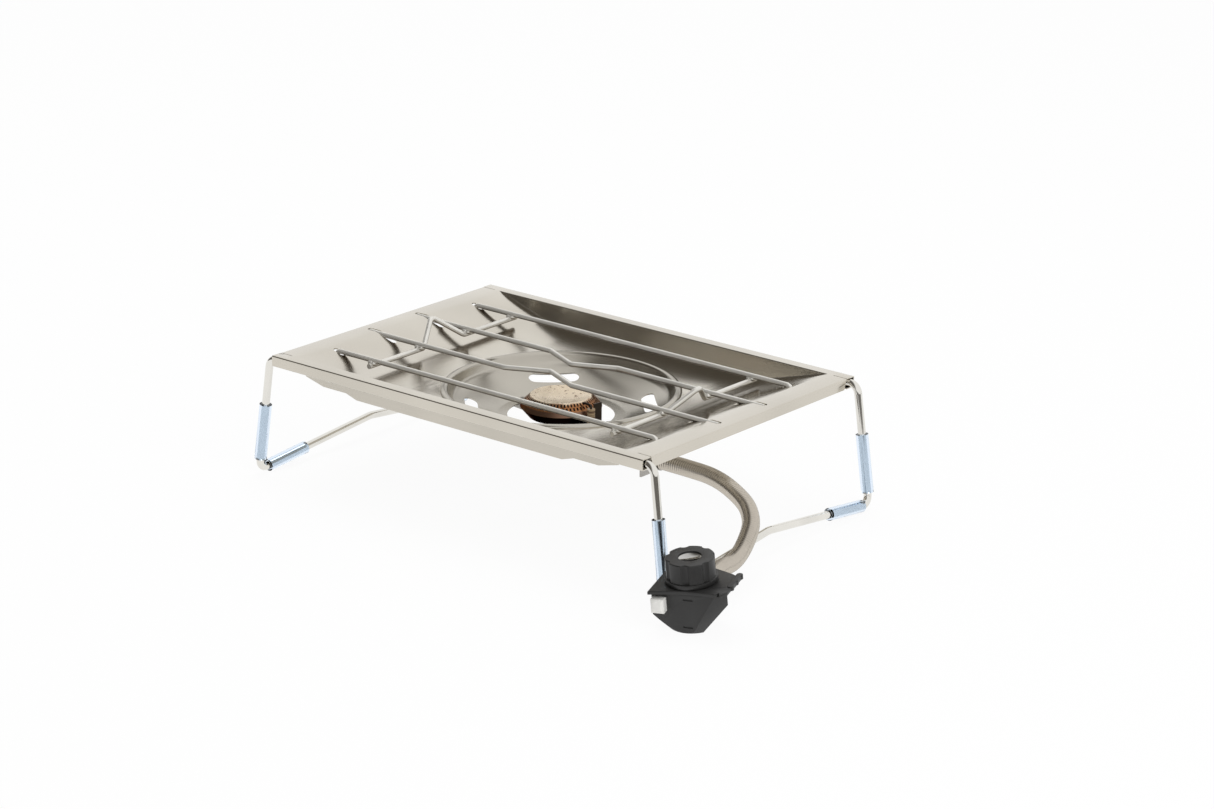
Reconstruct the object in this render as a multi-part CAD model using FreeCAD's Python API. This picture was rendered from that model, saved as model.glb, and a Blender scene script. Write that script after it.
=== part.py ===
import FreeCAD, Part
import math
import os

Vec = FreeCAD.Vector
UP = Vec(0, 0, 1)
ALONG = Vec(1, 0, 0)
ACROSS = Vec(0, 1, 0)

# Flat table-top gas stove with a valve unit on a hose. Millimetres, z 0 is the table.
# The z axis passes through the middle of the plate, +X points to the hose side, +Y to the back.

# How far a cutting shape runs past the face that it cuts
overrun = 5.0

# Plate and tray, one folded sheet
plate_length = 360.0
plate_width = 250.0
plate_height = 100.0
sheet = 0.8
hem_width = 9.5
hem_height = 8.5
flange_width = 18.0
skirt_height = 8.3
skirt_corner_gap = 12.0
relief_length = 12.0
relief_width = 0.6
fold_radius = 0.6
tray_depth = 18.5
tray_slope_run = 63.5
tray_wall_draft = 1.5

# Heat shield under the tray
shield_step_run = 12.5
shield_step_length = 23.0
shield_step_rise = 3.3
shield_end_run = 18.0
shield_end_rise = 7.7
shield_gap = 0.1
shield_bend_setback = 1.5

# Bowl in the tray
bowl_lip_outer = 91.0
bowl_lip_width = 6.0
bowl_lip_rise = 2.0
bowl_wall_foot_radius = 82.5
bowl_wall_drop = 7.5
bowl_ring_radius = 50.0
bowl_ring_drop = 19.5
bowl_hole_radius = 40.5
bowl_slot_count = 4
bowl_slot_radius = 67.0
bowl_slot_length = 39.0
bowl_slot_width = 10.0
bowl_fit = 0.6

# Burner head, its bracket and its mixing tube
bracket_turn = -9.0
bracket_width = 24.0
bracket_sheet = 1.5
bracket_screw_radius = 45.0
bracket_end_room = 4.2
screw_radius = 1.5
screw_head_radius = 3.0
screw_head_height = 1.4
screw_fit = 0.1
base_foot_radius = 24.5
base_radius = 31.0
base_edge = 7.6
base_height = 10.8
base_wall = 3.0
base_floor = 1.6
cap_foot_radius = 28.8
cap_foot_wall = 2.4
cap_rim_radius = 23.0
cap_height = 5.5
cap_dish = 2.2
cap_wall = 1.6
port_count = 60
port_width = 1.2
port_height = 1.8
port_rows = (0.8, 3.1)
port_reach = 3.0
tube_radius = 8.0
tube_wall = 1.0
tube_bend_radius = 12.0
tube_drop = 14.2
tube_end = 62.0
tube_fit = 0.05
air_hole_length = 12.0
air_hole_width = 6.0
air_hole_setback = 13.0

# Jet, its holder and the bracket that carries the hose end
holder_spigot = 4.0
holder_flange_radius = 9.5
holder_flange = 3.0
holder_body_radius = 6.5
holder_body = 15.0
nipple_radius = 4.0
nipple_length = 9.0
gas_bore = 1.5
jet_radius = 3.0
jet_length = 9.0
jet_seat = 5.0
jet_orifice = 0.3
ferrule_radius = 7.3
ferrule_length = 18.0
ferrule_fit = 0.1
hose_bracket_setback = 8.0
hose_bracket_width = 28.0
hose_bracket_below = 11.0
hose_bracket_foot = 8.5

# Spark electrode and its lead
insulator_radius = 3.0
insulator_place = 34.4
insulator_below = 3.5
insulator_above = 13.5
electrode_radius = 0.9
electrode_rise = 2.6
electrode_reach = 8.5
electrode_bend = 2.0
electrode_fit = 0.05
guard_inner = 32.0
guard_thick = 1.0
guard_start = 4.2
guard_width = 7.6
guard_height = 16.0
lead_radius = 1.2
lead_drop = 1.5
lead_aside = -13.0
lead_turn = 1.4
lead_bend = 5.0

# Pot support of round wire
wire_radius = 2.0
rail_sink = 1.8
inner_rail_y = 27.0
inner_rail_setback = 9.5
kink_half = 33.0
kink_y = 11.6
kink_bend = 4.0
outer_rail_y = 79.0
outer_rail_setback = 5.5
outer_rail_bend = 5.0
outer_rail_leg = 12.0
cross_bar_setback = 38.0
cross_bar_half = 84.0
weld_depth = 0.2
hump_half = 23.0
hump_out = 13.0
hump_rise = 17.0
hump_bend = 5.0
slot_width = 5.0
slot_fit = 0.5
inner_slot_foot = 5.0
inner_slot_room = 2.0

# Plug-in stands
stand_radius = 3.0
stand_plug = 45.0
stand_reach = 6.5
stand_foot_out = 19.0
stand_foot_y = 122.0
stand_arch = 13.0
stand_top_bend = 8.0
stand_foot_bend = 7.0
stand_arch_bend = 24.0
sleeve_radius = 4.8
sleeve_fit = 0.1
sleeve_start = 9.5
leg_sleeve = 45.0
bar_sleeve = 40.0

# Hose
hose_radius = 6.5
hose_root = 5.9
hose_bore = 5.2
rib_pitch = 1.45
bend_share = 0.45
hose_straight = 23.7
hose_valve_straight = 20.0
# Corners of the hose between its straight ends: x, y and the share of its fall that is left
hose_corners = ((153.6, -4.4, 1.037), (186.6, -16.7, 0.808), (202.9, -28.9, 0.629),
                (213.4, -42.7, 0.371), (223.9, -72.7, -0.112))

# Valve unit, in its own frame with the canister axis at its middle
valve_x = 243.9
valve_y = -144.4
valve_turn = 17.5
valve_lean_front = 6.3
valve_lean_left = 1.6
body_left = 22.9
body_right = 30.8
body_front = 18.6
body_back = 22.0
body_back_half = 6.0
body_left_back = 12.5
body_right_back = 10.0
body_waist_x = 19.5
body_shoulder_x = 24.4
body_shoulder_y = 14.2
body_height = 29.7
body_foot_radius = 18.5
body_flare = 0.89
facet_start = 23.3
facet_back = 5.1
facet_foot_x = 12.1
facet_foot_y = -14.1
undercut_start = 11.65
undercut_slope = 1.16
collar_recess_radius = 15.0
collar_recess = 3.0
cover_thick = 2.5
cover_edge = 0.4
cover_notch_start = 7.7
cover_notch_tip = 5.9
cover_notch_end = 4.1
cover_notch_depth = 2.5
lug_radius = 2.3
lug_setback = 0.9
lug_tip = 13.0
lug_pitch = 9.0
lug_count = 3
lug_groove = 0.7
lug_rise = 0.8
core_radius = 10.5
core_neck_radius = 9.0
core_neck = 2.0
core_boss_radius = 7.5
core_boss = 5.5
core_fit = 0.1
canister_bore = 5.2
canister_bore_depth = 6.5
seal_chamber_radius = 4.95
seal_chamber = 2.6
orifice_radius = 0.6
orifice_offset = 2.0
orifice_length = 4.2
seal_radius = 3.9
seal_cord = 0.95
pin_radius = 0.9
pin_length = 2.3
port_level = 18.5
port_radius = 5.0
valve_ferrule_radius = 7.6
valve_ferrule_flange = 4.0
spindle_radius = 3.0
spindle_fit = 0.05
spindle_seat_gap = 0.15
needle_length = 4.5
needle_tip = 0.5
gland_radius = 5.4
gland_depth = 3.0
gland_cord = 1.0
knob_gap = 0.5
knob_flange_radius = 18.5
knob_flange = 3.0
knob_radius = 17.2
knob_height = 17.2
knob_lobes = 7
knob_groove_start = 20.4
knob_groove_radius = 3.8
knob_groove_depth = 1.5
knob_edge = 0.8
knob_hollow_radius = 9.0
knob_hollow = 5.5
knob_recess_radius = 8.2
knob_recess = 2.4
knob_cap_fit = 0.1
knob_cap_thick = 1.0
knob_screw_head = 1.6
knob_screw_head_radius = 4.6
knob_screw_length = 6.0
knob_screw_room = 2.0
button_x = -17.0
button_level = 21.2
button_width = 9.6
button_height = 10.4
button_proud = 7.0
button_inside = 3.0
button_travel = 4.0
button_fit = 0.3
hood_reach = 5.8
hood_slant = 3.8
button_chamfer = 1.6
stem_radius = 1.8
stem_length = 5.2
stem_fit = 0.1
piezo_radius = 4.5
piezo_length = 20.0
piezo_fit = 0.1
piezo_bore = 10.0
housing_screw_places = ((12.0, 9.5), (12.5, -8.5), (-8.3, 12.5))
housing_screw_head_top = 10.0
housing_screw_bite = 1.5
mark_width = 7.0
mark_height = 1.4
mark_depth = 0.8
mark_places = ((3.6, 25.5), (2.3, 4.8))

# Levels and places that follow from the sizes
half_length = plate_length / 2
half_width = plate_width / 2
tray_half_length = half_length - flange_width
floor_half_length = tray_half_length - tray_slope_run
tray_half_width = half_width - hem_width
floor_half_width = tray_half_width - tray_wall_draft
floor_level = plate_height - tray_depth
slope = tray_depth / tray_slope_run
hem_y = half_width - hem_width / 2
hem_level = plate_height - hem_height / 2
shield_top = floor_level - sheet
shield_step_start = floor_half_length + shield_step_run
shield_step_end = shield_step_start + shield_step_length
shield_end = shield_step_end + shield_end_run
bowl_lip_inner = bowl_lip_outer - bowl_lip_width
ring_level = floor_level - bowl_ring_drop
bracket_level = ring_level - sheet
tube_level = bracket_level - tube_drop
rail_level = plate_height - rail_sink
inner_rail_half = half_length - inner_rail_setback
outer_rail_half = tray_half_length - outer_rail_setback
leg_slot_start = floor_half_length + (rail_level - wire_radius - floor_level) / slope - slot_fit
leg_slot_end = outer_rail_half + wire_radius + slot_fit
cross_bar_x = outer_rail_half - cross_bar_setback
inner_slot_start = leg_slot_start - inner_slot_foot
inner_slot_end = inner_rail_half + inner_slot_room
bar_level = rail_level - 2 * wire_radius + weld_depth
cap_level = bracket_level + base_height
ferrule_start = tube_end + holder_flange + holder_body
hose_start = ferrule_start + ferrule_length
cover_top = body_height + cover_thick
core_foot = collar_recess
bore_top = core_foot + canister_bore_depth
seal_top = bore_top + seal_chamber
chamber_level = seal_top + orifice_length
knob_foot = cover_top + knob_gap
knob_top = knob_foot + knob_height
spindle_top = knob_top - knob_recess - knob_screw_room - knob_screw_head
hose_port = body_back + valve_ferrule_flange
valve_lean = FreeCAD.Rotation(ALONG, valve_lean_front).multiply(FreeCAD.Rotation(ACROSS, -valve_lean_left))
valve_lift = body_foot_radius * math.sqrt(1 - valve_lean.multVec(UP).z ** 2)
valve_frame = FreeCAD.Placement(Vec(valve_x, valve_y, valve_lift),
                                valve_lean.multiply(FreeCAD.Rotation(UP, valve_turn)))
hose_end = valve_frame.multVec(Vec(0, hose_port, port_level))
hose_run_in = valve_frame.multVec(Vec(0, hose_port + hose_valve_straight, port_level))


# Shape helpers
def block(x_low, x_high, y_low, y_high, z_low, z_high):
    """Box between two corners."""
    return Part.makeBox(x_high - x_low, y_high - y_low, z_high - z_low, Vec(x_low, y_low, z_low))


def drum(radius, z_low, z_high, x=0.0, y=0.0):
    """Upright cylinder."""
    return Part.makeCylinder(radius, z_high - z_low, Vec(x, y, z_low))


def rod(radius, start, direction, length):
    """Cylinder from a point along a direction."""
    return Part.makeCylinder(radius, length, start, direction)


def outline_face(points):
    """Flat face inside a closed row of points."""
    return Part.Face(Part.makePolygon(points + [points[0]]))


def prism_across(outline, half):
    """Outline of (x, z) points drawn out to both sides along Y."""
    face = outline_face([Vec(x, -half, z) for x, z in outline])
    return face.extrude(ACROSS * (2 * half))


def prism_along(outline, half):
    """Outline of (y, z) points drawn out to both sides along X."""
    face = outline_face([Vec(-half, y, z) for y, z in outline])
    return face.extrude(ALONG * (2 * half))


def prism_up(outline, z_low, z_high):
    """Outline of (x, y) points drawn out upwards."""
    face = outline_face([Vec(x, y, z_low) for x, y in outline])
    return face.extrude(UP * (z_high - z_low))


def turned(outline):
    """Outline of (radius, z) points turned about the Z axis."""
    face = outline_face([Vec(radius, 0, z) for radius, z in outline])
    return face.revolve(Vec(0, 0, 0), UP, 360)


def turned_along(outline, level):
    """Outline of (x, radius) points turned about a line along X at a level."""
    face = outline_face([Vec(x, 0, level + radius) for x, radius in outline])
    return face.revolve(Vec(0, 0, level), ALONG, 360)


def stadium(length, width, z_low, z_high):
    """Upright prism with two straight sides and round ends, long side along X."""
    reach = (length - width) / 2
    middle = block(-reach, reach, -width / 2, width / 2, z_low, z_high)
    ends = [drum(width / 2, z_low, z_high, side * reach) for side in (-1, 1)]
    return middle.multiFuse(ends).removeSplitter()


def spin_copy(shape, degrees):
    """Copy of a shape turned about the Z axis."""
    copy = shape.copy()
    copy.rotate(Vec(0, 0, 0), UP, degrees)
    return copy


def shift_copy(shape, x, y, z=0.0):
    """Copy of a shape moved by x, y and z."""
    copy = shape.copy()
    copy.translate(Vec(x, y, z))
    return copy


def at_valve(shape):
    """Shape carried from the valve's own frame to its place on the table."""
    placed = shape.copy()
    placed.Placement = valve_frame.multiply(placed.Placement)
    return placed


def unit(vector):
    """Vector of length one."""
    return vector * (1 / vector.Length)


def rounded_path(points, radii):
    """Wire of straight runs joined by tangent arcs, one radius for each inner point."""
    edges = []
    start = points[0]
    for before, corner, after, radius in zip(points, points[1:], points[2:], radii):
        back = unit(before - corner)
        ahead = unit(after - corner)
        half_turn = (math.pi - back.getAngle(ahead)) / 2
        arc_start = corner + back * (radius * math.tan(half_turn))
        arc_end = corner + ahead * (radius * math.tan(half_turn))
        middle = corner + unit(back + ahead) * (radius / math.cos(half_turn) - radius)
        edges.append(Part.LineSegment(start, arc_start).toShape())
        edges.append(Part.Arc(arc_start, middle, arc_end).toShape())
        start = arc_end
    edges.append(Part.LineSegment(start, points[-1]).toShape())
    return Part.Wire(edges)


def round_bar(path, radius):
    """Round bar that follows a wire."""
    first = path.Edges[0]
    begin = first.FirstParameter
    circle = Part.makeCircle(radius, first.valueAt(begin), first.tangentAt(begin))
    return path.makePipeShell([Part.Wire(circle)], True, False)


def edges_where(shape, test):
    """Edges of a shape whose two end points both pass a test."""
    return [edge for edge in shape.Edges
            if len(edge.Vertexes) == 2 and all(test(vertex.Point) for vertex in edge.Vertexes)]


def near(value, target):
    """True where two sizes agree."""
    return abs(value - target) < 1e-4


# Tray
def pan(length_top, length_floor, width_top, width_floor, z_floor, z_top):
    """Solid trough with sloped ends and steep sides."""
    ends = [(-length_top, z_top), (-length_floor, z_floor), (length_floor, z_floor), (length_top, z_top)]
    sides = [(-width_top, z_top), (-width_floor, z_floor), (width_floor, z_floor), (width_top, z_top)]
    return prism_across(ends, width_top).common(prism_along(sides, length_top))


def tray():
    """Folded tray: rim, hollow hems on the long sides, skirts on the short sides and a sunk floor."""
    draft = tray_wall_draft / tray_depth
    hollow = pan(tray_half_length + overrun / slope, floor_half_length, tray_half_width + overrun * draft,
                 floor_half_width, floor_level, plate_height + overrun)
    down = sheet * math.hypot(1, slope)
    shell = pan(tray_half_length + down / slope, floor_half_length + (down - sheet) / slope,
                tray_half_width + sheet, floor_half_width + sheet, floor_level - sheet, plate_height)
    rim = block(-half_length, half_length, -half_width, half_width, plate_height - sheet, plate_height)
    body = rim.fuse(shell)
    for side in (-1, 1):
        hem = block(-half_length, half_length, tray_half_width, half_width,
                    plate_height - hem_height, plate_height)
        inside = block(-half_length, half_length, tray_half_width + sheet, half_width - sheet,
                       plate_height - hem_height + sheet, plate_height - sheet)
        channel = hem.cut(inside)
        skirt_half = half_width - skirt_corner_gap
        skirt = block(half_length - sheet, half_length, -skirt_half, skirt_half,
                      plate_height - skirt_height, plate_height)
        if side < 0:
            channel = spin_copy(channel, 180)
            skirt = spin_copy(skirt, 180)
        body = body.fuse(channel).fuse(skirt)
    body = body.cut(hollow).removeSplitter()
    folds = edges_where(body, lambda p: near(p.z, plate_height))
    body = body.makeFillet(fold_radius, folds)
    cuts = [drum(bowl_lip_inner + sheet + bowl_fit, floor_level - overrun, plate_height)]
    leg_slot = stadium(leg_slot_end - leg_slot_start, slot_width, floor_level, plate_height + overrun)
    leg_slot_x = (leg_slot_start + leg_slot_end) / 2
    rail_slot = stadium(inner_slot_end - inner_slot_start, slot_width, floor_level,
                        plate_height + overrun)
    rail_slot_x = (inner_slot_start + inner_slot_end) / 2
    slit = block(half_length - relief_length, half_length + overrun, tray_half_width - relief_width / 2,
                 tray_half_width + relief_width / 2, plate_height - 2 * sheet, plate_height + overrun)
    for x_side in (-1, 1):
        for y_side in (-1, 1):
            cuts.append(shift_copy(leg_slot, x_side * leg_slot_x, y_side * outer_rail_y))
            cuts.append(shift_copy(rail_slot, x_side * rail_slot_x, y_side * inner_rail_y))
    for mirror_x in (False, True):
        for mirror_y in (False, True):
            cut = slit.copy()
            if mirror_x:
                cut = cut.mirror(Vec(0, 0, 0), ALONG)
            if mirror_y:
                cut = cut.mirror(Vec(0, 0, 0), ACROSS)
            cuts.append(cut)
    return body.cut(Part.makeCompound(cuts))


def heat_shield():
    """Stepped pan under the tray with side walls below the hems and an opening for the bowl."""
    low = shield_top - sheet
    step = low + shield_step_rise
    right = [(floor_half_length + shield_bend_setback, low), (shield_step_start, step),
             (shield_step_end, step), (shield_end, low + shield_end_rise)]
    line = [(-x, z) for x, z in reversed(right)] + right
    top = plate_height - hem_height - shield_gap
    inner_half = tray_half_width + sheet + shield_gap
    outside = prism_across(line + [(shield_end, top), (-shield_end, top)], inner_half + sheet)
    raised = [(x, z + sheet) for x, z in line]
    raised[0] = (raised[0][0] - overrun, raised[0][1])
    raised[-1] = (raised[-1][0] + overrun, raised[-1][1])
    over = top + overrun
    inside = prism_across(raised + [(raised[-1][0], over), (raised[0][0], over)], inner_half)
    return outside.cut(inside).cut(drum(bowl_lip_inner + sheet + bowl_fit, low - overrun, plate_height))


# Bowl and burner
def burner_bowl():
    """Turned bowl: rolled lip on the tray floor, steep wall, sloping floor with four air slots."""
    lip_middle = bowl_lip_outer - bowl_lip_width / 2
    wall_level = floor_level - bowl_wall_drop
    top = floor_level + bowl_lip_rise

    def at(radius, z):
        return Vec(radius, 0, z)

    edges = [
        Part.Arc(at(bowl_lip_outer, floor_level), at(lip_middle, top),
                 at(bowl_lip_inner, floor_level)).toShape(),
        Part.Arc(at(bowl_lip_inner + sheet, floor_level), at(lip_middle, top - sheet),
                 at(bowl_lip_outer - sheet, floor_level)).toShape(),
    ]
    down = [at(bowl_lip_inner, floor_level), at(bowl_wall_foot_radius, wall_level),
            at(bowl_ring_radius, ring_level), at(bowl_hole_radius, ring_level),
            at(bowl_hole_radius, ring_level - sheet), at(bowl_ring_radius, ring_level - sheet),
            at(bowl_wall_foot_radius + sheet, wall_level - sheet), at(bowl_lip_inner + sheet, floor_level)]
    edges += [Part.LineSegment(a, b).toShape() for a, b in zip(down, down[1:])]
    rim = Part.LineSegment(at(bowl_lip_outer - sheet, floor_level), at(bowl_lip_outer, floor_level))
    edges.append(rim.toShape())
    face = Part.Face(Part.Wire(Part.sortEdges(edges)[0]))
    bowl = face.revolve(Vec(0, 0, 0), UP, 360)
    slot = stadium(bowl_slot_length, bowl_slot_width, ring_level, floor_level)
    slot = shift_copy(slot, 0, bowl_slot_radius)
    turn = 360 / bowl_slot_count
    slots = [spin_copy(slot, turn / 2 + turn * index) for index in range(bowl_slot_count)]
    screw_hole = drum(screw_radius + screw_fit, ring_level - overrun, ring_level + overrun,
                      bracket_screw_radius)
    holes = [spin_copy(screw_hole, bracket_turn + half) for half in (0, 180)]
    return bowl.cut(Part.makeCompound(slots + holes))


def burner_bracket():
    """Strip across the bowl's opening that carries the burner and the electrode."""
    reach = bracket_screw_radius + bracket_end_room
    strip = block(-reach, reach, -bracket_width / 2, bracket_width / 2,
                  bracket_level - bracket_sheet, bracket_level)
    cuts = [drum(tube_radius + tube_fit, 0, plate_height)]
    cuts.append(drum(insulator_radius + electrode_fit, 0, plate_height, insulator_place))
    for side in (-1, 1):
        cuts.append(drum(screw_radius + screw_fit, 0, plate_height, side * bracket_screw_radius))
    return spin_copy(strip.cut(Part.makeCompound(cuts)), bracket_turn)


def bracket_screws():
    """Two pan-head screws from below through the bracket into the bowl's ring."""
    head_top = bracket_level - bracket_sheet
    shank = drum(screw_radius, head_top, ring_level + screw_radius, bracket_screw_radius)
    head = drum(screw_head_radius, head_top - screw_head_height, head_top, bracket_screw_radius)
    screw = shank.fuse(head).removeSplitter()
    return Part.makeCompound([spin_copy(screw, bracket_turn + half) for half in (0, 180)])


def burner_base():
    """Round cup on the bracket, with a hole for the mixing tube."""
    z = bracket_level
    hole = tube_radius + tube_fit
    return turned([(hole, z), (base_foot_radius, z), (base_radius, z + base_edge),
                   (cap_foot_radius, cap_level), (cap_foot_radius - base_wall, cap_level),
                   (base_foot_radius - base_wall, z + base_floor), (hole, z + base_floor)])


def burner_cap():
    """Dished cap with two rows of flame ports in its sloping wall."""
    top = cap_level + cap_height
    cap = turned([(cap_foot_radius - cap_foot_wall, cap_level), (cap_foot_radius, cap_level),
                  (cap_rim_radius, top), (cap_rim_radius - cap_wall, top), (0, top - cap_dish),
                  (0, top - cap_dish - cap_wall), (cap_rim_radius - 2 * cap_wall, top - cap_wall)])
    ports = []
    for row, lift in enumerate(port_rows):
        port = block(cap_rim_radius - port_reach, cap_foot_radius + overrun, -port_width / 2,
                     port_width / 2, cap_level + lift, cap_level + lift + port_height)
        step = 360 / port_count
        ports += [spin_copy(port, step * (index + row / 2)) for index in range(port_count)]
    return cap.cut(Part.makeCompound(ports))


def mixing_tube():
    """Bent tube from the jet to the burner base, with two air openings beside the jet."""
    path = rounded_path([Vec(0, 0, bracket_level + base_floor), Vec(0, 0, tube_level),
                         Vec(tube_end, 0, tube_level)], [tube_bend_radius])
    tube = round_bar(path, tube_radius).cut(round_bar(path, tube_radius - tube_wall))
    opening = stadium(air_hole_length, air_hole_width, -tube_radius - overrun, tube_radius + overrun)
    opening.rotate(Vec(0, 0, 0), ALONG, 90)
    return tube.cut(shift_copy(opening, tube_end - air_hole_setback, 0, tube_level))


def jet_holder():
    """Brass holder that closes the tube, carries the jet and ends in a nipple for the hose."""
    spigot = tube_radius - tube_wall - tube_fit
    front = tube_end - holder_spigot
    shoulder = tube_end + holder_flange
    seat_end = front + jet_seat
    nipple_end = ferrule_start + nipple_length
    return turned_along([(front, jet_radius), (front, spigot), (tube_end, spigot),
                         (tube_end, holder_flange_radius), (shoulder, holder_flange_radius),
                         (shoulder, holder_body_radius), (ferrule_start, holder_body_radius),
                         (ferrule_start, nipple_radius), (nipple_end, nipple_radius),
                         (nipple_end, gas_bore), (seat_end, gas_bore), (seat_end, jet_radius)], tube_level)


def gas_jet():
    """Small brass jet with its orifice, seated in the holder."""
    seat_end = tube_end - holder_spigot + jet_seat
    nose = seat_end - jet_length
    inner = jet_radius - tube_fit
    return turned_along([(nose, jet_orifice), (nose, inner / 2), (nose + inner / 2, inner),
                         (seat_end, inner), (seat_end, gas_bore), (nose + inner, gas_bore),
                         (nose + inner / 2, jet_orifice)], tube_level)


def stove_ferrule():
    """Steel sleeve on the holder's nipple that the hose ends against."""
    bore = nipple_radius + ferrule_fit
    return turned_along([(ferrule_start, bore), (ferrule_start, ferrule_radius),
                         (hose_start, ferrule_radius), (hose_start, bore)], tube_level)


def hose_bracket():
    """Angle plate welded under the shield that holds the ferrule."""
    under = shield_top - sheet
    face = ferrule_start + hose_bracket_setback
    half = hose_bracket_width / 2
    upright = block(face, face + bracket_sheet, -half, half, tube_level - hose_bracket_below, under)
    foot = block(face, face + hose_bracket_foot, -half, half, under - bracket_sheet, under)
    hole = rod(ferrule_radius + ferrule_fit, Vec(face - overrun, 0, tube_level), ALONG,
               bracket_sheet + 2 * overrun)
    return upright.fuse(foot).removeSplitter().cut(hole)


def electrode_place(z):
    """Point on the electrode's axis at a height."""
    turn = math.radians(bracket_turn)
    return Vec(insulator_place * math.cos(turn), insulator_place * math.sin(turn), z)


def electrode_insulator():
    """Ceramic sleeve through the bracket."""
    low = bracket_level - insulator_below
    tube = drum(insulator_radius, low, bracket_level + insulator_above, insulator_place)
    bore = drum(electrode_radius + electrode_fit, low, bracket_level + insulator_above, insulator_place)
    return spin_copy(tube.cut(bore), bracket_turn)


def electrode_rod():
    """Spark rod that bends over towards the flame ports."""
    tip_level = bracket_level + insulator_above + electrode_rise
    inward = unit(electrode_place(0)) * -1
    path = rounded_path([electrode_place(bracket_level - insulator_below), electrode_place(tip_level),
                         electrode_place(tip_level) + inward * electrode_reach], [electrode_bend])
    return round_bar(path, electrode_radius)


def electrode_guard():
    """Upright steel tab on the bracket beside the electrode."""
    tab = block(guard_inner, guard_inner + guard_thick, guard_start, guard_start + guard_width,
                bracket_level, bracket_level + guard_height)
    return spin_copy(tab, bracket_turn)


def ignition_lead():
    """Insulated lead from the electrode to the hose bracket, from where it runs in the hose."""
    start = electrode_place(bracket_level - insulator_below)
    side_level = start.z - lead_drop
    points = [start, Vec(start.x, start.y, side_level), Vec(start.x, lead_aside, side_level),
              Vec(tube_end, lead_aside, tube_level),
              Vec(ferrule_start + hose_bracket_setback, lead_aside, tube_level)]
    return round_bar(rounded_path(points, [lead_turn, lead_bend, lead_bend]), lead_radius)


# Pot support
def inner_rail(side):
    """Rail with a kink towards the middle, its ends let into slots in the slopes and short flanges."""
    y = side * inner_rail_y
    points = [Vec(-inner_rail_half, y, rail_level), Vec(-kink_half, y, rail_level),
              Vec(0, side * kink_y, rail_level),
              Vec(kink_half, y, rail_level), Vec(inner_rail_half, y, rail_level)]
    return round_bar(rounded_path(points, [kink_bend] * 3), wire_radius)


def outer_rail(side):
    """Straight rail whose ends turn down into the tray's slots."""
    y = side * outer_rail_y
    foot = rail_level - outer_rail_leg
    points = [Vec(-outer_rail_half, y, foot), Vec(-outer_rail_half, y, rail_level),
              Vec(outer_rail_half, y, rail_level), Vec(outer_rail_half, y, foot)]
    return round_bar(rounded_path(points, [outer_rail_bend, outer_rail_bend]), wire_radius)


def cross_bar(side):
    """Bar welded under the rails, with a hump that leans outwards between the inner rails."""
    x = side * cross_bar_x
    points = [Vec(x, -cross_bar_half, bar_level), Vec(x, -hump_half, bar_level),
              Vec(x + side * hump_out, 0, bar_level + hump_rise),
              Vec(x, hump_half, bar_level), Vec(x, cross_bar_half, bar_level)]
    return round_bar(rounded_path(points, [hump_bend] * 3), wire_radius)


# Stands
foot_rise = stand_arch / math.hypot(stand_foot_y, stand_arch)
foot_level = sleeve_radius * math.sqrt(1 - foot_rise ** 2) - sleeve_start * foot_rise
foot_x = half_length + stand_foot_out
leg_top_x = half_length + stand_reach
leg_lean = (foot_x - leg_top_x) / (hem_level - foot_level)
foot_corner = Vec(foot_x, stand_foot_y, foot_level)
leg_top = Vec(leg_top_x, hem_y, hem_level)
arch_top = Vec(foot_x - leg_lean * stand_arch, 0, foot_level + stand_arch)


def to_side(shape, x_side, y_side=1):
    """Shape of the right back quarter carried to another side."""
    if x_side < 0:
        shape = shape.mirror(Vec(0, 0, 0), ALONG)
    if y_side < 0:
        shape = shape.mirror(Vec(0, 0, 0), ACROSS)
    return shape


def stand_wire():
    """One bent wire: two plugs in the hems, two legs and an arched foot bar."""
    back = [Vec(half_length - stand_plug, hem_y, hem_level), leg_top, foot_corner]
    front = [Vec(point.x, -point.y, point.z) for point in reversed(back)]
    bends = [stand_top_bend, stand_foot_bend, stand_arch_bend, stand_foot_bend, stand_top_bend]
    return round_bar(rounded_path(back + [arch_top] + front, bends), stand_radius)


def sleeve(towards, length):
    """Clear sleeve pushed on the wire from the foot corner towards a point."""
    direction = unit(towards - foot_corner)
    start = foot_corner + direction * sleeve_start
    outside = rod(sleeve_radius, start, direction, length)
    return outside.cut(rod(stand_radius + sleeve_fit, start, direction, length))


# Hose
hose_fall = tube_level - hose_end.z
hose_points = [Vec(hose_start, 0, tube_level), Vec(hose_start + hose_straight, 0, tube_level)]
hose_points += [Vec(x, y, hose_end.z + share * hose_fall) for x, y, share in hose_corners]
hose_points += [hose_run_in, hose_end]


def hose_bends():
    """Bend radii, each as large as the two runs beside it allow."""
    radii = []
    for before, corner, after in zip(hose_points, hose_points[1:], hose_points[2:]):
        turn = (corner - before).getAngle(after - corner)
        run = min((corner - before).Length, (after - corner).Length)
        radii.append(bend_share * run / math.tan(turn / 2))
    return radii


def along(path, distance):
    """Point and direction at a distance along a wire."""
    edges = list(path.Edges)
    while len(edges) > 1 and distance > edges[0].Length:
        distance -= edges.pop(0).Length
    place = edges[0].getParameterByLength(min(distance, edges[0].Length))
    return edges[0].valueAt(place), edges[0].tangentAt(place)


def ring_at(path, distance, radius):
    """Circle square to a wire, with its seam kept at the top."""
    point, direction = along(path, distance)
    turn = FreeCAD.Rotation(UP, Vec(0, 0, 0), direction, "ZXY")
    circle = Part.makeCircle(radius)
    circle.Placement = FreeCAD.Placement(point, turn)
    return Part.Wire(circle)


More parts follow.
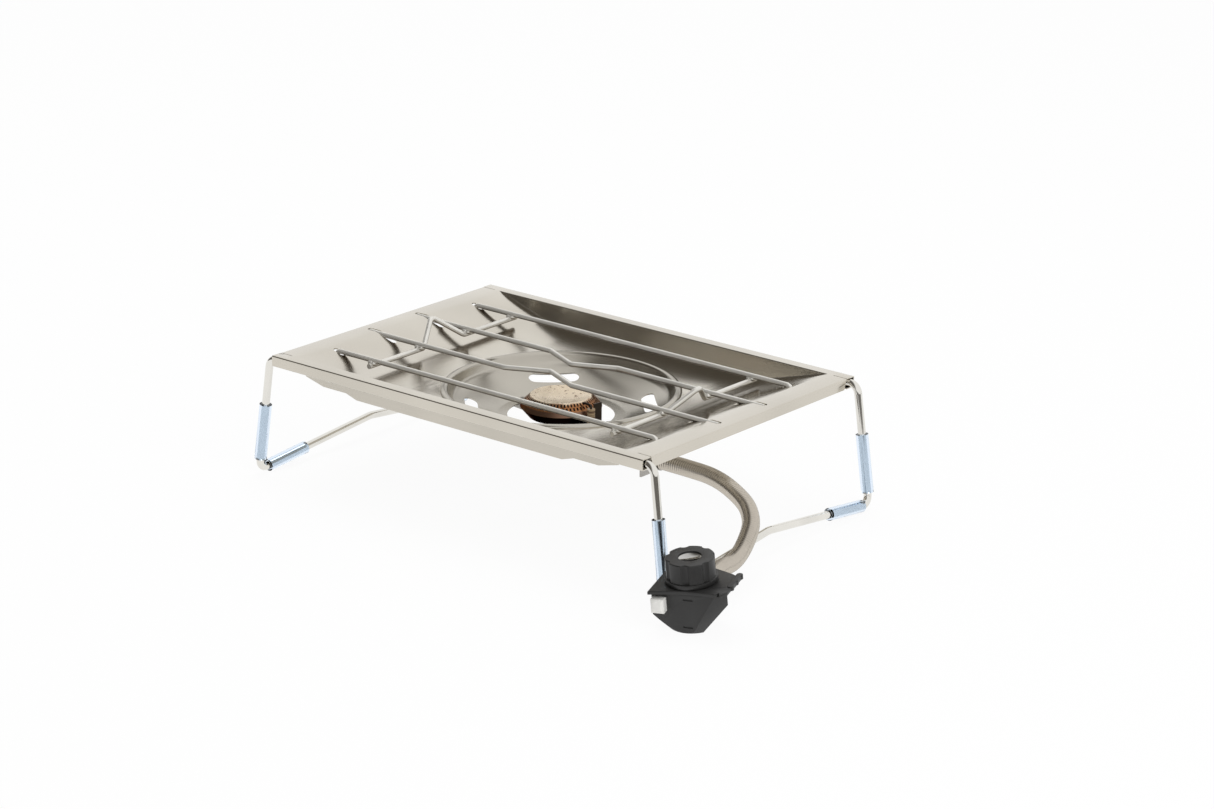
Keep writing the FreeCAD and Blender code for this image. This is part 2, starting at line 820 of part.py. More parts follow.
def hose():
    """Ribbed metal hose with its bore."""
    radii = hose_bends()
    path = rounded_path(hose_points, radii)
    ribs = int(path.Length / rib_pitch)
    pitch = path.Length / ribs
    rings = []
    for rib in range(ribs):
        for share, radius in ((0, hose_root), (0.25, hose_radius), (0.5, hose_radius), (0.75, hose_root)):
            rings.append(ring_at(path, (rib + share) * pitch, radius))
    rings.append(ring_at(path, path.Length, hose_root))
    tube = Part.makeLoft(rings, True, True).cut(round_bar(path, hose_bore))
    section = math.pi * ((hose_root + hose_radius) ** 2 / 4 - hose_bore ** 2)
    print("hose bend radii", [round(radius, 1) for radius in radii])
    print("hose length", round(path.Length, 1), "ribs", ribs)
    print("hose volume", round(tube.Volume), "section times length", round(section * path.Length))
    return tube


# Valve unit
def button_axis(distance):
    """Point on the button's axis at a distance to the back of the valve axis."""
    return Vec(button_x, distance, button_level)


pocket_floor = button_inside + button_travel + button_fit - body_front
piezo_front = pocket_floor + button_fit


def housing_back(edge):
    """Right, back and left corners of the housing's outline, grown by an edge."""
    return [(body_right + edge, body_right_back + edge), (body_shoulder_x + edge, body_shoulder_y + edge),
            (body_back_half, body_back + edge), (-body_back_half, body_back + edge),
            (-body_left - edge, body_left_back + edge)]


def trimmed(solid, point, normal):
    """Solid without what lies beyond a plane."""
    reach = body_left + body_right
    beyond = block(-reach, reach, -reach, reach, 0, reach)
    beyond.Placement = FreeCAD.Placement(point, FreeCAD.Rotation(UP, normal))
    return solid.cut(beyond)


def valve_body():
    """Lower housing: faceted block over a round canister collar, hollowed for what it holds."""
    outline = [(-body_left, -body_front), (body_right, -body_front), (body_right, facet_back - body_front),
               (body_waist_x, body_shoulder_y)] + housing_back(0)[2:]
    flare = Part.makeCone(body_foot_radius, body_foot_radius + body_flare * body_height, body_height)
    solid = prism_up(outline, 0, body_height).common(flare)
    facet = [Vec(facet_start, -body_front, body_height), Vec(facet_foot_x, facet_foot_y, 0),
             Vec(body_right, facet_back - body_front, body_height)]
    solid = trimmed(solid, facet[0], (facet[1] - facet[0]).cross(facet[2] - facet[0]))
    solid = trimmed(solid, Vec(undercut_start, 0, 0), Vec(undercut_slope, 0, -1))
    cuts = [drum(collar_recess_radius, 0, collar_recess),
            drum(core_neck_radius + core_fit, 0, core_foot + core_neck),
            drum(core_radius + core_fit, core_foot + core_neck, cover_top)]
    half = button_width / 2 + button_fit
    tall = button_height / 2 + button_fit
    cuts.append(block(button_x - half, button_x + half, -body_front - overrun, pocket_floor,
                      button_level - tall, button_level + tall))
    cuts.append(rod(piezo_radius + piezo_fit, button_axis(pocket_floor), ACROSS,
                    piezo_front - pocket_floor + piezo_length))
    cuts.append(rod(port_radius + core_fit, Vec(0, 0, port_level), ACROSS, body_back + core_fit))
    for x, y in housing_screw_places:
        cuts.append(drum(screw_head_radius + screw_fit, 0, housing_screw_head_top, x, y))
        cuts.append(drum(screw_radius + screw_fit, 0, cover_top, x, y))
    for x, z in mark_places:
        cuts.append(block(x - mark_width / 2, x + mark_width / 2, -body_front - overrun,
                          -body_front + mark_depth, z - mark_height / 2, z + mark_height / 2))
    return at_valve(solid.cut(Part.makeCompound(cuts)))


def valve_cover():
    """Top plate with a hood over the button, a notch and a scalloped lug along the right edge."""
    left = body_left + cover_edge
    right = body_right + cover_edge
    front = body_front + cover_edge
    hood = body_front + hood_reach
    outline = [(-left, -hood), (button_x + button_width, -hood + hood_slant),
               (button_x + 2 * button_width, -front), (right - cover_notch_start, -front),
               (right - cover_notch_tip, -front + cover_notch_depth), (right - cover_notch_end, -front),
               (right, -front + facet_back)] + housing_back(cover_edge)
    plate = prism_up(outline, body_height, cover_top)
    rim = edges_where(plate, lambda p: near(p.z, cover_top))
    plate = plate.makeChamfer(cover_edge, rim)
    lug_x = right - lug_setback
    lug_top = cover_top + lug_rise
    lug_places = [lug_tip - index * lug_pitch for index in range(lug_count)]
    lug = [block(lug_x - lug_radius, lug_x + lug_radius - lug_groove, lug_places[-1], lug_tip,
                 body_height, lug_top)]
    lug += [drum(lug_radius, body_height, lug_top, lug_x, place) for place in lug_places]
    plate = plate.multiFuse(lug).removeSplitter()
    cuts = [drum(core_boss_radius + core_fit, 0, cover_top + overrun)]
    for x, y in housing_screw_places:
        cuts.append(drum(screw_radius, 0, body_height + housing_screw_bite, x, y))
    return at_valve(plate.cut(Part.makeCompound(cuts)))


def housing_screws():
    """Three screws from below that hold the cover on the housing."""
    screws = []
    for x, y in housing_screw_places:
        head_foot = housing_screw_head_top - screw_head_height
        head = drum(screw_head_radius, head_foot, housing_screw_head_top, x, y)
        shank = drum(screw_radius, housing_screw_head_top, body_height + housing_screw_bite, x, y)
        screws.append(head.fuse(shank).removeSplitter())
    return at_valve(Part.makeCompound(screws))


def valve_core():
    """Brass core: canister thread below, spindle bore above, gas way out to the back."""
    neck = core_foot + core_neck
    top = body_height + core_boss
    solid = turned([(0, core_foot), (core_neck_radius, core_foot), (core_neck_radius, neck),
                    (core_radius, neck), (core_radius, body_height), (core_boss_radius, body_height),
                    (core_boss_radius, top), (0, top)])
    cuts = [drum(canister_bore, 0, bore_top), drum(seal_chamber_radius, 0, seal_top),
            drum(orifice_radius, 0, chamber_level, orifice_offset),
            drum(spindle_radius + spindle_fit, chamber_level, top + overrun),
            drum(gland_radius, top - gland_depth, top + overrun),
            rod(gas_bore, Vec(0, 0, port_level), ACROSS, core_radius + overrun)]
    return at_valve(solid.cut(Part.makeCompound(cuts)))


def ring_seal(radius, cord, z):
    """Round rubber ring about the canister axis."""
    return at_valve(Part.makeTorus(radius, cord, Vec(0, 0, z)))


def opening_pin():
    """Pin in the canister bore that opens the canister's own valve."""
    return at_valve(drum(pin_radius, seal_top - pin_length, seal_top))


def valve_spindle():
    """Spindle with a needle tip and a tapped end for the knob screw."""
    tip = chamber_level + spindle_seat_gap
    solid = turned([(0, tip), (needle_tip, tip), (spindle_radius, tip + needle_length),
                    (spindle_radius, spindle_top), (0, spindle_top)])
    tapped = drum(screw_radius, spindle_top - knob_screw_length - spindle_fit, spindle_top)
    return at_valve(solid.cut(tapped))


def knob():
    """Lobed knob with a foot flange, a hollow over the core and a recess on top."""
    body = drum(knob_radius, knob_foot, knob_top)
    groove_place = knob_radius + knob_groove_radius - knob_groove_depth
    groove = drum(knob_groove_radius, knob_foot + knob_flange, knob_top + overrun, groove_place)
    turns = [knob_groove_start + 360 / knob_lobes * index for index in range(knob_lobes)]
    body = body.cut(Part.makeCompound([spin_copy(groove, degrees) for degrees in turns]))
    body = body.fuse(drum(knob_flange_radius, knob_foot, knob_foot + knob_flange)).removeSplitter()
    rim = [edge for edge in body.Edges if all(near(vertex.Point.z, knob_top) for vertex in edge.Vertexes)]
    body = body.makeFillet(knob_edge, rim)
    cuts = [drum(knob_hollow_radius, 0, knob_foot + knob_hollow),
            drum(spindle_radius + spindle_fit, 0, spindle_top),
            drum(knob_screw_head_radius + screw_fit, spindle_top, knob_top),
            drum(knob_recess_radius, knob_top - knob_recess, knob_top + overrun)]
    return at_valve(body.cut(Part.makeCompound(cuts)))


def knob_screw():
    """Screw on the spindle's end that holds the knob."""
    head = drum(knob_screw_head_radius, spindle_top, spindle_top + knob_screw_head)
    shank = drum(screw_radius - spindle_fit, spindle_top - knob_screw_length, spindle_top)
    return at_valve(head.fuse(shank).removeSplitter())


def knob_cap():
    """Bright metal disc in the knob's recess."""
    low = knob_top - knob_recess
    return at_valve(drum(knob_recess_radius - knob_cap_fit, low, low + knob_cap_thick))


def igniter_button():
    """White push button with a stem into the piezo unit."""
    half = button_width / 2
    tall = button_height / 2
    front = -body_front - button_proud
    back = button_inside - body_front
    head = block(button_x - half, button_x + half, front, back, button_level - tall, button_level + tall)
    face = edges_where(head, lambda p: near(p.y, front))
    head = head.makeChamfer(button_chamfer, face)
    return at_valve(head.fuse(rod(stem_radius, button_axis(back), ACROSS, stem_length)).removeSplitter())


def piezo_unit():
    """Piezo cartridge behind the button, bored for the button's stem."""
    case = rod(piezo_radius, button_axis(piezo_front), ACROSS, piezo_length)
    return at_valve(case.cut(rod(stem_radius + stem_fit, button_axis(piezo_front), ACROSS, piezo_bore)))


def valve_ferrule():
    """Flanged nipple from the core to the hose."""
    start = core_radius + core_fit
    nipple = rod(port_radius, Vec(0, start, port_level), ACROSS, body_back - start)
    flange = rod(valve_ferrule_radius, Vec(0, body_back, port_level), ACROSS, valve_ferrule_flange)
    bore = rod(gas_bore, Vec(0, 0, port_level), ACROSS, hose_port + overrun)
    return at_valve(nipple.fuse(flange).removeSplitter().cut(bore))


# Every piece under its own name
pieces = {
    "tray": tray(),
    "heat_shield": heat_shield(),
    "burner_bowl": burner_bowl(),
    "burner_bracket": burner_bracket(),
    "bracket_screws": bracket_screws(),
    "burner_base": burner_base(),
    "burner_cap": burner_cap(),
    "mixing_tube": mixing_tube(),
    "jet_holder": jet_holder(),
    "gas_jet": gas_jet(),
    "hose_bracket": hose_bracket(),
    "stove_ferrule": stove_ferrule(),
    "electrode_insulator": electrode_insulator(),
    "electrode_rod": electrode_rod(),
    "electrode_guard": electrode_guard(),
    "ignition_lead": ignition_lead(),
    "inner_front_rail": inner_rail(-1),
    "inner_back_rail": inner_rail(1),
    "outer_front_rail": outer_rail(-1),
    "outer_back_rail": outer_rail(1),
    "left_cross_bar": cross_bar(-1),
    "right_cross_bar": cross_bar(1),
    "hose": hose(),
    "valve_ferrule": valve_ferrule(),
    "valve_body": valve_body(),
    "valve_cover": valve_cover(),
    "housing_screws": housing_screws(),
    "valve_core": valve_core(),
    "canister_seal": ring_seal(seal_radius, seal_cord, seal_top - seal_cord - core_fit),
    "opening_pin": opening_pin(),
    "valve_spindle": valve_spindle(),
    "spindle_seal": ring_seal((spindle_radius + gland_radius) / 2, gland_cord,
                              body_height + core_boss - gland_depth + gland_cord + core_fit),
    "knob": knob(),
    "knob_screw": knob_screw(),
    "knob_cap": knob_cap(),
    "igniter_button": igniter_button(),
    "piezo_unit": piezo_unit(),
}
for side_name, x_side in (("left", -1), ("right", 1)):
    pieces[side_name + "_stand_wire"] = to_side(stand_wire(), x_side)
    for end_name, y_side in (("front", -1), ("back", 1)):
        corner_name = side_name + "_" + end_name
        pieces[corner_name + "_leg_sleeve"] = to_side(sleeve(leg_top, leg_sleeve), x_side, y_side)
        pieces[corner_name + "_bar_sleeve"] = to_side(sleeve(arch_top, bar_sleeve), x_side, y_side)

os.makedirs("parts", exist_ok=True)
for name, shape in pieces.items():
    if not shape.isValid():
        raise ValueError(name + " is not a valid solid")
    shape.exportStep("parts/" + name + ".step")
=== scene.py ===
import math
import random

import bmesh
import bpy
from bpy.props import FloatProperty, FloatVectorProperty, IntProperty, PointerProperty
from mathutils import Matrix, Vector


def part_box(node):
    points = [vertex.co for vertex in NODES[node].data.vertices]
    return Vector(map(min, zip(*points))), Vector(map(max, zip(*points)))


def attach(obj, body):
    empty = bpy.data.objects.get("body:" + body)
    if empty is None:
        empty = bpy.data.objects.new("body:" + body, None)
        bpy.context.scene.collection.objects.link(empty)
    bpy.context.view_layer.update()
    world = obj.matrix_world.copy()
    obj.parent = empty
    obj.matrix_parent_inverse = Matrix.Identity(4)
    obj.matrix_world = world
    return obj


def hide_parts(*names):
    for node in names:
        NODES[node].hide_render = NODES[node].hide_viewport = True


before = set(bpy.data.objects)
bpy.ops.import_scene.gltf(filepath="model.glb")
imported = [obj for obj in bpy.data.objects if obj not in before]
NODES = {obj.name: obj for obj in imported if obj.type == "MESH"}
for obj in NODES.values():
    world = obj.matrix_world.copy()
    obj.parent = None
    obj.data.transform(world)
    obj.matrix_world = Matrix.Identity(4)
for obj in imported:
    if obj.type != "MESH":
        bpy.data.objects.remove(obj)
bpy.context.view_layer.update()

bl_info = {
    "name": "Table-top gas stove",
    "version": (1, 0, 0),
    "blender": (4, 5, 0),
    "location": "View3D > Sidebar > Stove",
    "description": "Dresses the packed stove with its sheet metal, wires, hose and valve, and lights it",
    "category": "Object",
}

UP = Vector((0.0, 0.0, 1.0))

# Shading and grain
CRISP_ANGLE = 35.0
GRAIN_ACROSS = (30.0, 1500.0, 1500.0)
GRAIN_EVEN = (600.0, 600.0, 600.0)
GRAIN_HEIGHT = 0.0002
NEAR = 1e-6

# Tray cuts, in metres
OPENING_INSET = 0.0046
OPENING_DEPTH = 0.03
OPENING_BELOW_RIM = 0.0185
SLOT_BELOW_RIM = 0.015
SLOT_ABOVE_RIM = 0.003
SLIT_DEPTH = 0.006

# Bowl, in metres
LIP_WIDTH = 0.003
LIP_HEIGHT = 0.002
LIP_STEPS = 8
BOWL_WALL = 0.0825
BOWL_WALL_DROP = 0.0075
BOWL_FLOOR = 0.050
BOWL_HOLE = 0.0405
BOWL_BEND = 0.003
AIR_SLOT_PLACE = 0.067
AIR_SLOT_LENGTH = 0.039
AIR_SLOT_WIDTH = 0.010
ROUND_STEPS = 128

# Burner cap, in metres: its rim, the levels of its two rows of ports, and its dished top below the rim
CAP_RIM = 0.023
PORT_LEVELS = (0.0008, 0.0026, 0.0031, 0.0049)
PORT_DEPTH = 0.0018
CAP_DISH = ((CAP_RIM - 0.0016, 0.0), (0.016, 0.0012), (0.008, 0.0019), (0.0, 0.0022))
CAP_EDGE = 0.0004
BROWN_START = 0.0062
BROWN_END = 0.0042

# Weld beads, in metres
INNER_RAIL_Y = 0.027
WELD_X = 0.1185
WELD_RISE = 0.0038
WELD_SHIFT = 0.0012
WELD_STRAY = 0.0008

# Hose: depth of the four rings of one rib, and which faces of a rib take the painted groove shade (1) or
# plain steel (0)
RIB_PROFILE = (0.9, 0, 0, 0.9)
RIB_SHADE = (1, 1, 0, 0)
FERRULE_WALL = 0.0008

# Lamps, and where the mirrored floor and surroundings turn from dim to white
KEY_PLACE = (-0.6, 0.5, 2.6)
KEY_SIDE = 2.0
FILL_PLACE = (2.0, -0.6, 1.5)
FILL_SIDE = 1.6
FLOOR_LIMITS = (-0.46, -0.33)
SIDE_LIMITS = (-0.75, -0.40)


# Properties
def length(label, text, default):
    """A length in metres that a user may change."""
    return FloatProperty(name=label, description=text, default=default, unit="LENGTH", precision=5)


def colour(label, text, default):
    """A linear colour that a user may change."""
    return FloatVectorProperty(name=label, description=text, default=default, subtype="COLOR", min=0, max=1)


def number(label, text, default):
    """A plain number that a user may change."""
    return FloatProperty(name=label, description=text, default=default)


def angle(label, text, degrees):
    """An angle that a user may change."""
    return FloatProperty(name=label, description=text, default=math.radians(degrees), subtype="ANGLE")


def vector(label, text, default, subtype="NONE"):
    """A place or direction that a user may change."""
    return FloatVectorProperty(name=label, description=text, default=default, subtype=subtype)


class StoveSizes(bpy.types.PropertyGroup):
    """Sizes of the dressed pieces, in metres."""

    sheet: length("Sheet", "Thickness of the folded sheet", 0.0008)
    fold: length("Fold", "Radius of the folds in the sheet", 0.0009)
    foot_bend: length("Foot bend", "Width of the soft bend at the foot of the sloped ends", 0.02)
    flange: length("Flange", "Width of the rim on the short sides", 0.018)
    hem: length("Hem", "Width of the rim on the long sides", 0.0095)
    hem_drop: length("Hem drop", "Height of the hem on the long sides", 0.0085)
    skirt_drop: length("Skirt drop", "Height of the skirt on the short sides", 0.0083)
    skirt_gap: length("Skirt gap", "From the plate's corner to the end of a skirt", 0.012)
    slope_run: length("Slope run", "Length of the tray's sloped ends in plan", 0.0635)
    wall_draft: length("Wall draft", "How far the tray's long walls lean out", 0.0015)
    wire: length("Wire", "Radius of the pot support's wire", 0.002)
    slot_width: length("Slot width", "Width of the tray's slots", 0.005)
    slot_fit: length("Slot fit", "Room at the outer end of a leg slot", 0.0005)
    slot_room: length("Slot room", "Room at the outer end of an inner rail's slot", 0.002)
    leg_slot: length("Leg slot", "From the middle to the inner end of a leg slot", 0.148457)
    rail_slot: length("Rail slot", "From the middle to the inner end of an inner rail's slot", 0.143457)
    slit_length: length("Slit length", "Length of the relief slits at the corners", 0.012)
    slit_width: length("Slit width", "Width of the relief slits at the corners", 0.0006)
    bead: length("Weld bead", "Radius of a weld bead on the pot support", 0.0032)
    rib_depth: length("Rib depth", "Depth of the hose's ribs", 0.0009)
    rib_pitch: length("Rib pitch", "Distance between the hose's ribs", 0.0021)
    moulded_edge: length("Moulded edge", "Radius of the valve's moulded edges", 0.00045)
    port_count: IntProperty(name="Port count", description="Flame ports in one row", default=60, min=8)
    hose_sides: IntProperty(name="Hose sides", description="Sides of the hose's rings", default=40, min=12)


class StoveColours(bpy.types.PropertyGroup):
    """Colours of the finishes."""

    sheet: colour("Sheet", "Satin stainless sheet", (0.67, 0.63, 0.555))
    bowl: colour("Bowl", "Drawn stainless bowl", (0.52, 0.49, 0.43))
    wire: colour("Wire", "Bright plated wire", (0.80, 0.78, 0.73))
    hose: colour("Hose", "Ribbed steel hose", (0.56, 0.51, 0.44))
    vinyl: colour("Vinyl", "Clear sleeves", (0.78, 0.87, 0.98))
    moulding: colour("Moulding", "Valve housing and knob", (0.021, 0.0205, 0.020))
    button: colour("Button", "Igniter button", (0.92, 0.91, 0.87))
    cap_top: colour("Cap top", "Top of the burner cap", (0.74, 0.62, 0.46))
    cap_wall: colour("Cap wall", "Heat-browned wall of the burner cap", (0.32, 0.14, 0.055))
    burner_base: colour("Burner base", "Heat-browned burner base", (0.26, 0.15, 0.10))
    brass: colour("Brass", "Turned fittings", (0.62, 0.43, 0.17))


def sizes():
    """The sizes as set in the scene."""
    return bpy.context.scene.stove_sizes


def colours():
    """The colours as set in the scene."""
    return bpy.context.scene.stove_colours


# Shader helpers
def add_node(tree, kind, place=(0, 0), **settings):
    """New shader node with its settings."""
    node = tree.nodes.new(kind)
    node.location = place
    for key, value in settings.items():
        setattr(node, key, value)
    return node


def new_material(name, base, metallic, roughness):
    """Material with its shader set to plain values, and its tree."""
    material = bpy.data.materials.new(name)
    material.use_nodes = True
    shader = material.node_tree.nodes["Principled BSDF"]
    shader.inputs["Base Color"].default_value = (*base, 1.0)
    shader.inputs["Metallic"].default_value = metallic
    shader.inputs["Roughness"].default_value = roughness
    return material, material.node_tree, shader


def new_group(name, inputs, outputs):
    """Empty shader node group with named sockets."""
    group = bpy.data.node_groups.new(name, "ShaderNodeTree")
    for label, kind, default in inputs:
        socket = group.interface.new_socket(name=label, in_out="INPUT", socket_type=kind)
        socket.default_value = default
    for label, kind in outputs:
        group.interface.new_socket(name=label, in_out="OUTPUT", socket_type=kind)
    entry = add_node(group, "NodeGroupInput", (-600, 0))
    leave = add_node(group, "NodeGroupOutput", (600, 0))
    return group, entry, leave


def grain_group():
    """Fine grain stretched along one direction, from 0 to 1."""
    group, entry, leave = new_group(
        "Brushed grain",
        [("Vector", "NodeSocketVector", (0, 0, 0)), ("Stretch", "NodeSocketVector", GRAIN_ACROSS)],
        [("Grain", "NodeSocketFloat")],
    )
    stretch = add_node(group, "ShaderNodeVectorMath", (-300, 0), operation="MULTIPLY")
    noise = add_node(group, "ShaderNodeTexNoise", (0, 0))
    noise.inputs["Scale"].default_value = 1.0
    noise.inputs["Detail"].default_value = 3.0
    group.links.new(entry.outputs["Vector"], stretch.inputs[0])
    group.links.new(entry.outputs["Stretch"], stretch.inputs[1])
    group.links.new(stretch.outputs["Vector"], noise.inputs["Vector"])
    group.links.new(noise.outputs["Fac"], leave.inputs["Grain"])
    return group


def patches_group():
    """Large soft patches between two values."""
    group, entry, leave = new_group(
        "Soft patches",
        [("Vector", "NodeSocketVector", (0, 0, 0)), ("Scale", "NodeSocketFloat", 12.0),
         ("Low", "NodeSocketFloat", 0.0), ("High", "NodeSocketFloat", 1.0)],
        [("Value", "NodeSocketFloat")],
    )
    noise = add_node(group, "ShaderNodeTexNoise", (-200, 0))
    noise.inputs["Detail"].default_value = 2.0
    spread = add_node(group, "ShaderNodeMapRange", (200, 0))
    spread.inputs["From Min"].default_value = 0.3
    spread.inputs["From Max"].default_value = 0.7
    group.links.new(entry.outputs["Vector"], noise.inputs["Vector"])
    group.links.new(entry.outputs["Scale"], noise.inputs["Scale"])
    group.links.new(noise.outputs["Fac"], spread.inputs["Value"])
    group.links.new(entry.outputs["Low"], spread.inputs["To Min"])
    group.links.new(entry.outputs["High"], spread.inputs["To Max"])
    group.links.new(spread.outputs["Result"], leave.inputs["Value"])
    return group


def use_group(tree, name, place, **values):
    """Placed node group, fed with Object coordinates, with its values set."""
    node = add_node(tree, "ShaderNodeGroup", place)
    node.node_tree = bpy.data.node_groups[name]
    coordinates = add_node(tree, "ShaderNodeTexCoord", (place[0] - 250, place[1]))
    tree.links.new(coordinates.outputs["Object"], node.inputs["Vector"])
    for label, value in values.items():
        node.inputs[label].default_value = value
    return node


def mix_colours(tree, factor, first, second, place):
    """Colour mixed from two plain colours by a factor."""
    mix = add_node(tree, "ShaderNodeMix", place, data_type="RGBA")
    tree.links.new(factor, mix.inputs["Factor"])
    mix.inputs["A"].default_value = (*first, 1.0)
    mix.inputs["B"].default_value = (*second, 1.0)
    return mix.outputs["Result"]


def bump_from(tree, shader, height, strength, distance):
    """Bump on a shader's normal from a height."""
    bump = add_node(tree, "ShaderNodeBump", (-250, -400))
    bump.inputs["Strength"].default_value = strength
    bump.inputs["Distance"].default_value = distance
    tree.links.new(height, bump.inputs["Height"])
    tree.links.new(bump.outputs["Normal"], shader.inputs["Normal"])


def shade(base, factor):
    """Colour made lighter or darker."""
    return tuple(min(1.0, part * factor) for part in base)


# Finishes
def brushed_metal(name, base, rough, stretch, spread=0.06, tone=0.9, scale=12.0, bump=0.03):
    """Metal with stretched grain in its gloss and slow patches in its tone."""
    material, tree, shader = new_material(name, base, 1.0, rough)
    grain = use_group(tree, "Brushed grain", (-700, -100), Stretch=stretch)
    gloss = add_node(tree, "ShaderNodeMapRange", (-450, -150))
    gloss.inputs["To Min"].default_value = rough - spread
    gloss.inputs["To Max"].default_value = rough + spread
    tree.links.new(grain.outputs["Grain"], gloss.inputs["Value"])
    tree.links.new(gloss.outputs["Result"], shader.inputs["Roughness"])
    patches = use_group(tree, "Soft patches", (-700, 250), Scale=scale)
    tint = mix_colours(tree, patches.outputs["Value"], base, shade(base, tone), (-400, 250))
    tree.links.new(tint, shader.inputs["Base Color"])
    bump_from(tree, shader, grain.outputs["Grain"], bump, GRAIN_HEIGHT)
    return material


def underside_shaded_metal(name, base, rough, start, end, underside_shade, scale, metallic=1.0):
    """Metal with painted shade where its faces turn down from a start to an end slope: those faces take the
    underside shade colour.
    """
    material = brushed_metal(name, base, rough, GRAIN_EVEN, 0.03, 0.85, scale)
    tree = material.node_tree
    shader = tree.nodes["Principled BSDF"]
    shader.inputs["Specular Tint"].default_value = (*base, 1.0)
    shader.inputs["Metallic"].default_value = metallic
    unshaded_colour = shader.inputs["Base Color"].links[0].from_socket
    coordinates = add_node(tree, "ShaderNodeTexCoord", (-700, 600))
    split = add_node(tree, "ShaderNodeSeparateXYZ", (-500, 600))
    tree.links.new(coordinates.outputs["Normal"], split.inputs["Vector"])
    # Painted shade: the share of the shade colour grows as the face's normal turns down.
    under = add_node(tree, "ShaderNodeMapRange", (-300, 600), interpolation_type="SMOOTHSTEP")
    under.inputs["From Min"].default_value = start
    under.inputs["From Max"].default_value = end
    tree.links.new(split.outputs["Z"], under.inputs["Value"])
    mix = add_node(tree, "ShaderNodeMix", (-100, 500), data_type="RGBA")
    tree.links.new(under.outputs["Result"], mix.inputs["Factor"])
    tree.links.new(unshaded_colour, mix.inputs["A"])
    mix.inputs["B"].default_value = (*underside_shade, 1.0)
    tree.links.new(mix.outputs["Result"], shader.inputs["Base Color"])
    return material


def dished_disc(name):
    """Polished metal that curves like a shallow dish around the middle of the knob's disc."""
    low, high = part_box("knob_cap")
    material = brushed_metal(name, (0.55, 0.54, 0.52), 0.12, GRAIN_EVEN, 0.03, 0.8, 80.0)
    tree = material.node_tree
    coordinates = add_node(tree, "ShaderNodeTexCoord", (-1100, -600))
    offset = add_node(tree, "ShaderNodeVectorMath", (-900, -600), operation="SUBTRACT")
    offset.inputs[1].default_value = (low + high) / 2
    tree.links.new(coordinates.outputs["Object"], offset.inputs[0])
    square = add_node(tree, "ShaderNodeVectorMath", (-700, -600), operation="DOT_PRODUCT")
    tree.links.new(offset.outputs["Vector"], square.inputs[0])
    tree.links.new(offset.outputs["Vector"], square.inputs[1])
    height = add_node(tree, "ShaderNodeMath", (-500, -600), operation="MULTIPLY")
    height.inputs[1].default_value = 32.0
    tree.links.new(square.outputs["Value"], height.inputs[0])
    bump_from(tree, tree.nodes["Principled BSDF"], height.outputs["Value"], 1.0, 1.0)
    return material


def moulded_plastic(name, base, rough, scale=1800.0, strength=0.12):
    """Matt plastic with a fine moulded grain and faint handling marks."""
    material, tree, shader = new_material(name, base, 0.0, rough)
    grain = use_group(tree, "Brushed grain", (-700, -100), Stretch=(scale, scale, scale))
    bump_from(tree, shader, grain.outputs["Grain"], strength, GRAIN_HEIGHT)
    marks = use_group(tree, "Soft patches", (-700, 250), Scale=60.0, Low=rough - 0.06, High=rough + 0.06)
    tree.links.new(marks.outputs["Value"], shader.inputs["Roughness"])
    tone = use_group(tree, "Soft patches", (-700, 500), Scale=90.0)
    tint = mix_colours(tree, tone.outputs["Value"], base, shade(base, 0.85), (-400, 500))
    tree.links.new(tint, shader.inputs["Base Color"])
    return material


def clear_vinyl():
    """Clear soft plastic with a blue cast and slightly cloudy patches."""
    material, tree, shader = new_material("Clear vinyl", colours().vinyl, 0.0, 0.12)
    shader.inputs["IOR"].default_value = 1.34
    shader.inputs["Transmission Weight"].default_value = 1.0
    haze = use_group(tree, "Soft patches", (-700, 0), Scale=120.0, Low=0.0, High=0.02)
    tree.links.new(haze.outputs["Value"], shader.inputs["Roughness"])
    return material


def burnt_cap():
    """Cap metal: cream gold on top with small stains, heat-browned down the wall."""
    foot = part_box("burner_cap")[1].x
    material, tree, shader = new_material("Burnt cap", colours().cap_top, 0.8, 0.28)
    coordinates = add_node(tree, "ShaderNodeTexCoord", (-1300, 200))
    flat = add_node(tree, "ShaderNodeVectorMath", (-1100, 200), operation="MULTIPLY")
    flat.inputs[1].default_value = (1, 1, 0)
    tree.links.new(coordinates.outputs["Object"], flat.inputs[0])
    radius = add_node(tree, "ShaderNodeVectorMath", (-900, 200), operation="LENGTH")
    tree.links.new(flat.outputs["Vector"], radius.inputs[0])
    stain = use_group(tree, "Soft patches", (-900, -100), Scale=140.0, Low=-0.0007, High=0.0007)
    spread = add_node(tree, "ShaderNodeMath", (-650, 100), operation="ADD")
    tree.links.new(radius.outputs["Value"], spread.inputs[0])
    tree.links.new(stain.outputs["Value"], spread.inputs[1])
    wall = add_node(tree, "ShaderNodeMapRange", (-450, 100))
    wall.inputs["From Min"].default_value = foot - BROWN_START
    wall.inputs["From Max"].default_value = foot - BROWN_END
    tree.links.new(spread.outputs["Value"], wall.inputs["Value"])
    specks = use_group(tree, "Soft patches", (-700, 450), Scale=300.0, Low=-6.0, High=1.4)
    top = mix_colours(tree, specks.outputs["Value"], colours().cap_top, (0.20, 0.11, 0.05), (-400, 400))
    tint = add_node(tree, "ShaderNodeMix", (-200, 200), data_type="RGBA")
    tree.links.new(wall.outputs["Result"], tint.inputs["Factor"])
    tree.links.new(top, tint.inputs["A"])
    tint.inputs["B"].default_value = (*colours().cap_wall, 1.0)
    tree.links.new(tint.outputs["Result"], shader.inputs["Base Color"])
    rough = use_group(tree, "Soft patches", (-500, -250), Scale=150.0, Low=0.22, High=0.34)
    tree.links.new(rough.outputs["Value"], shader.inputs["Roughness"])
    return material


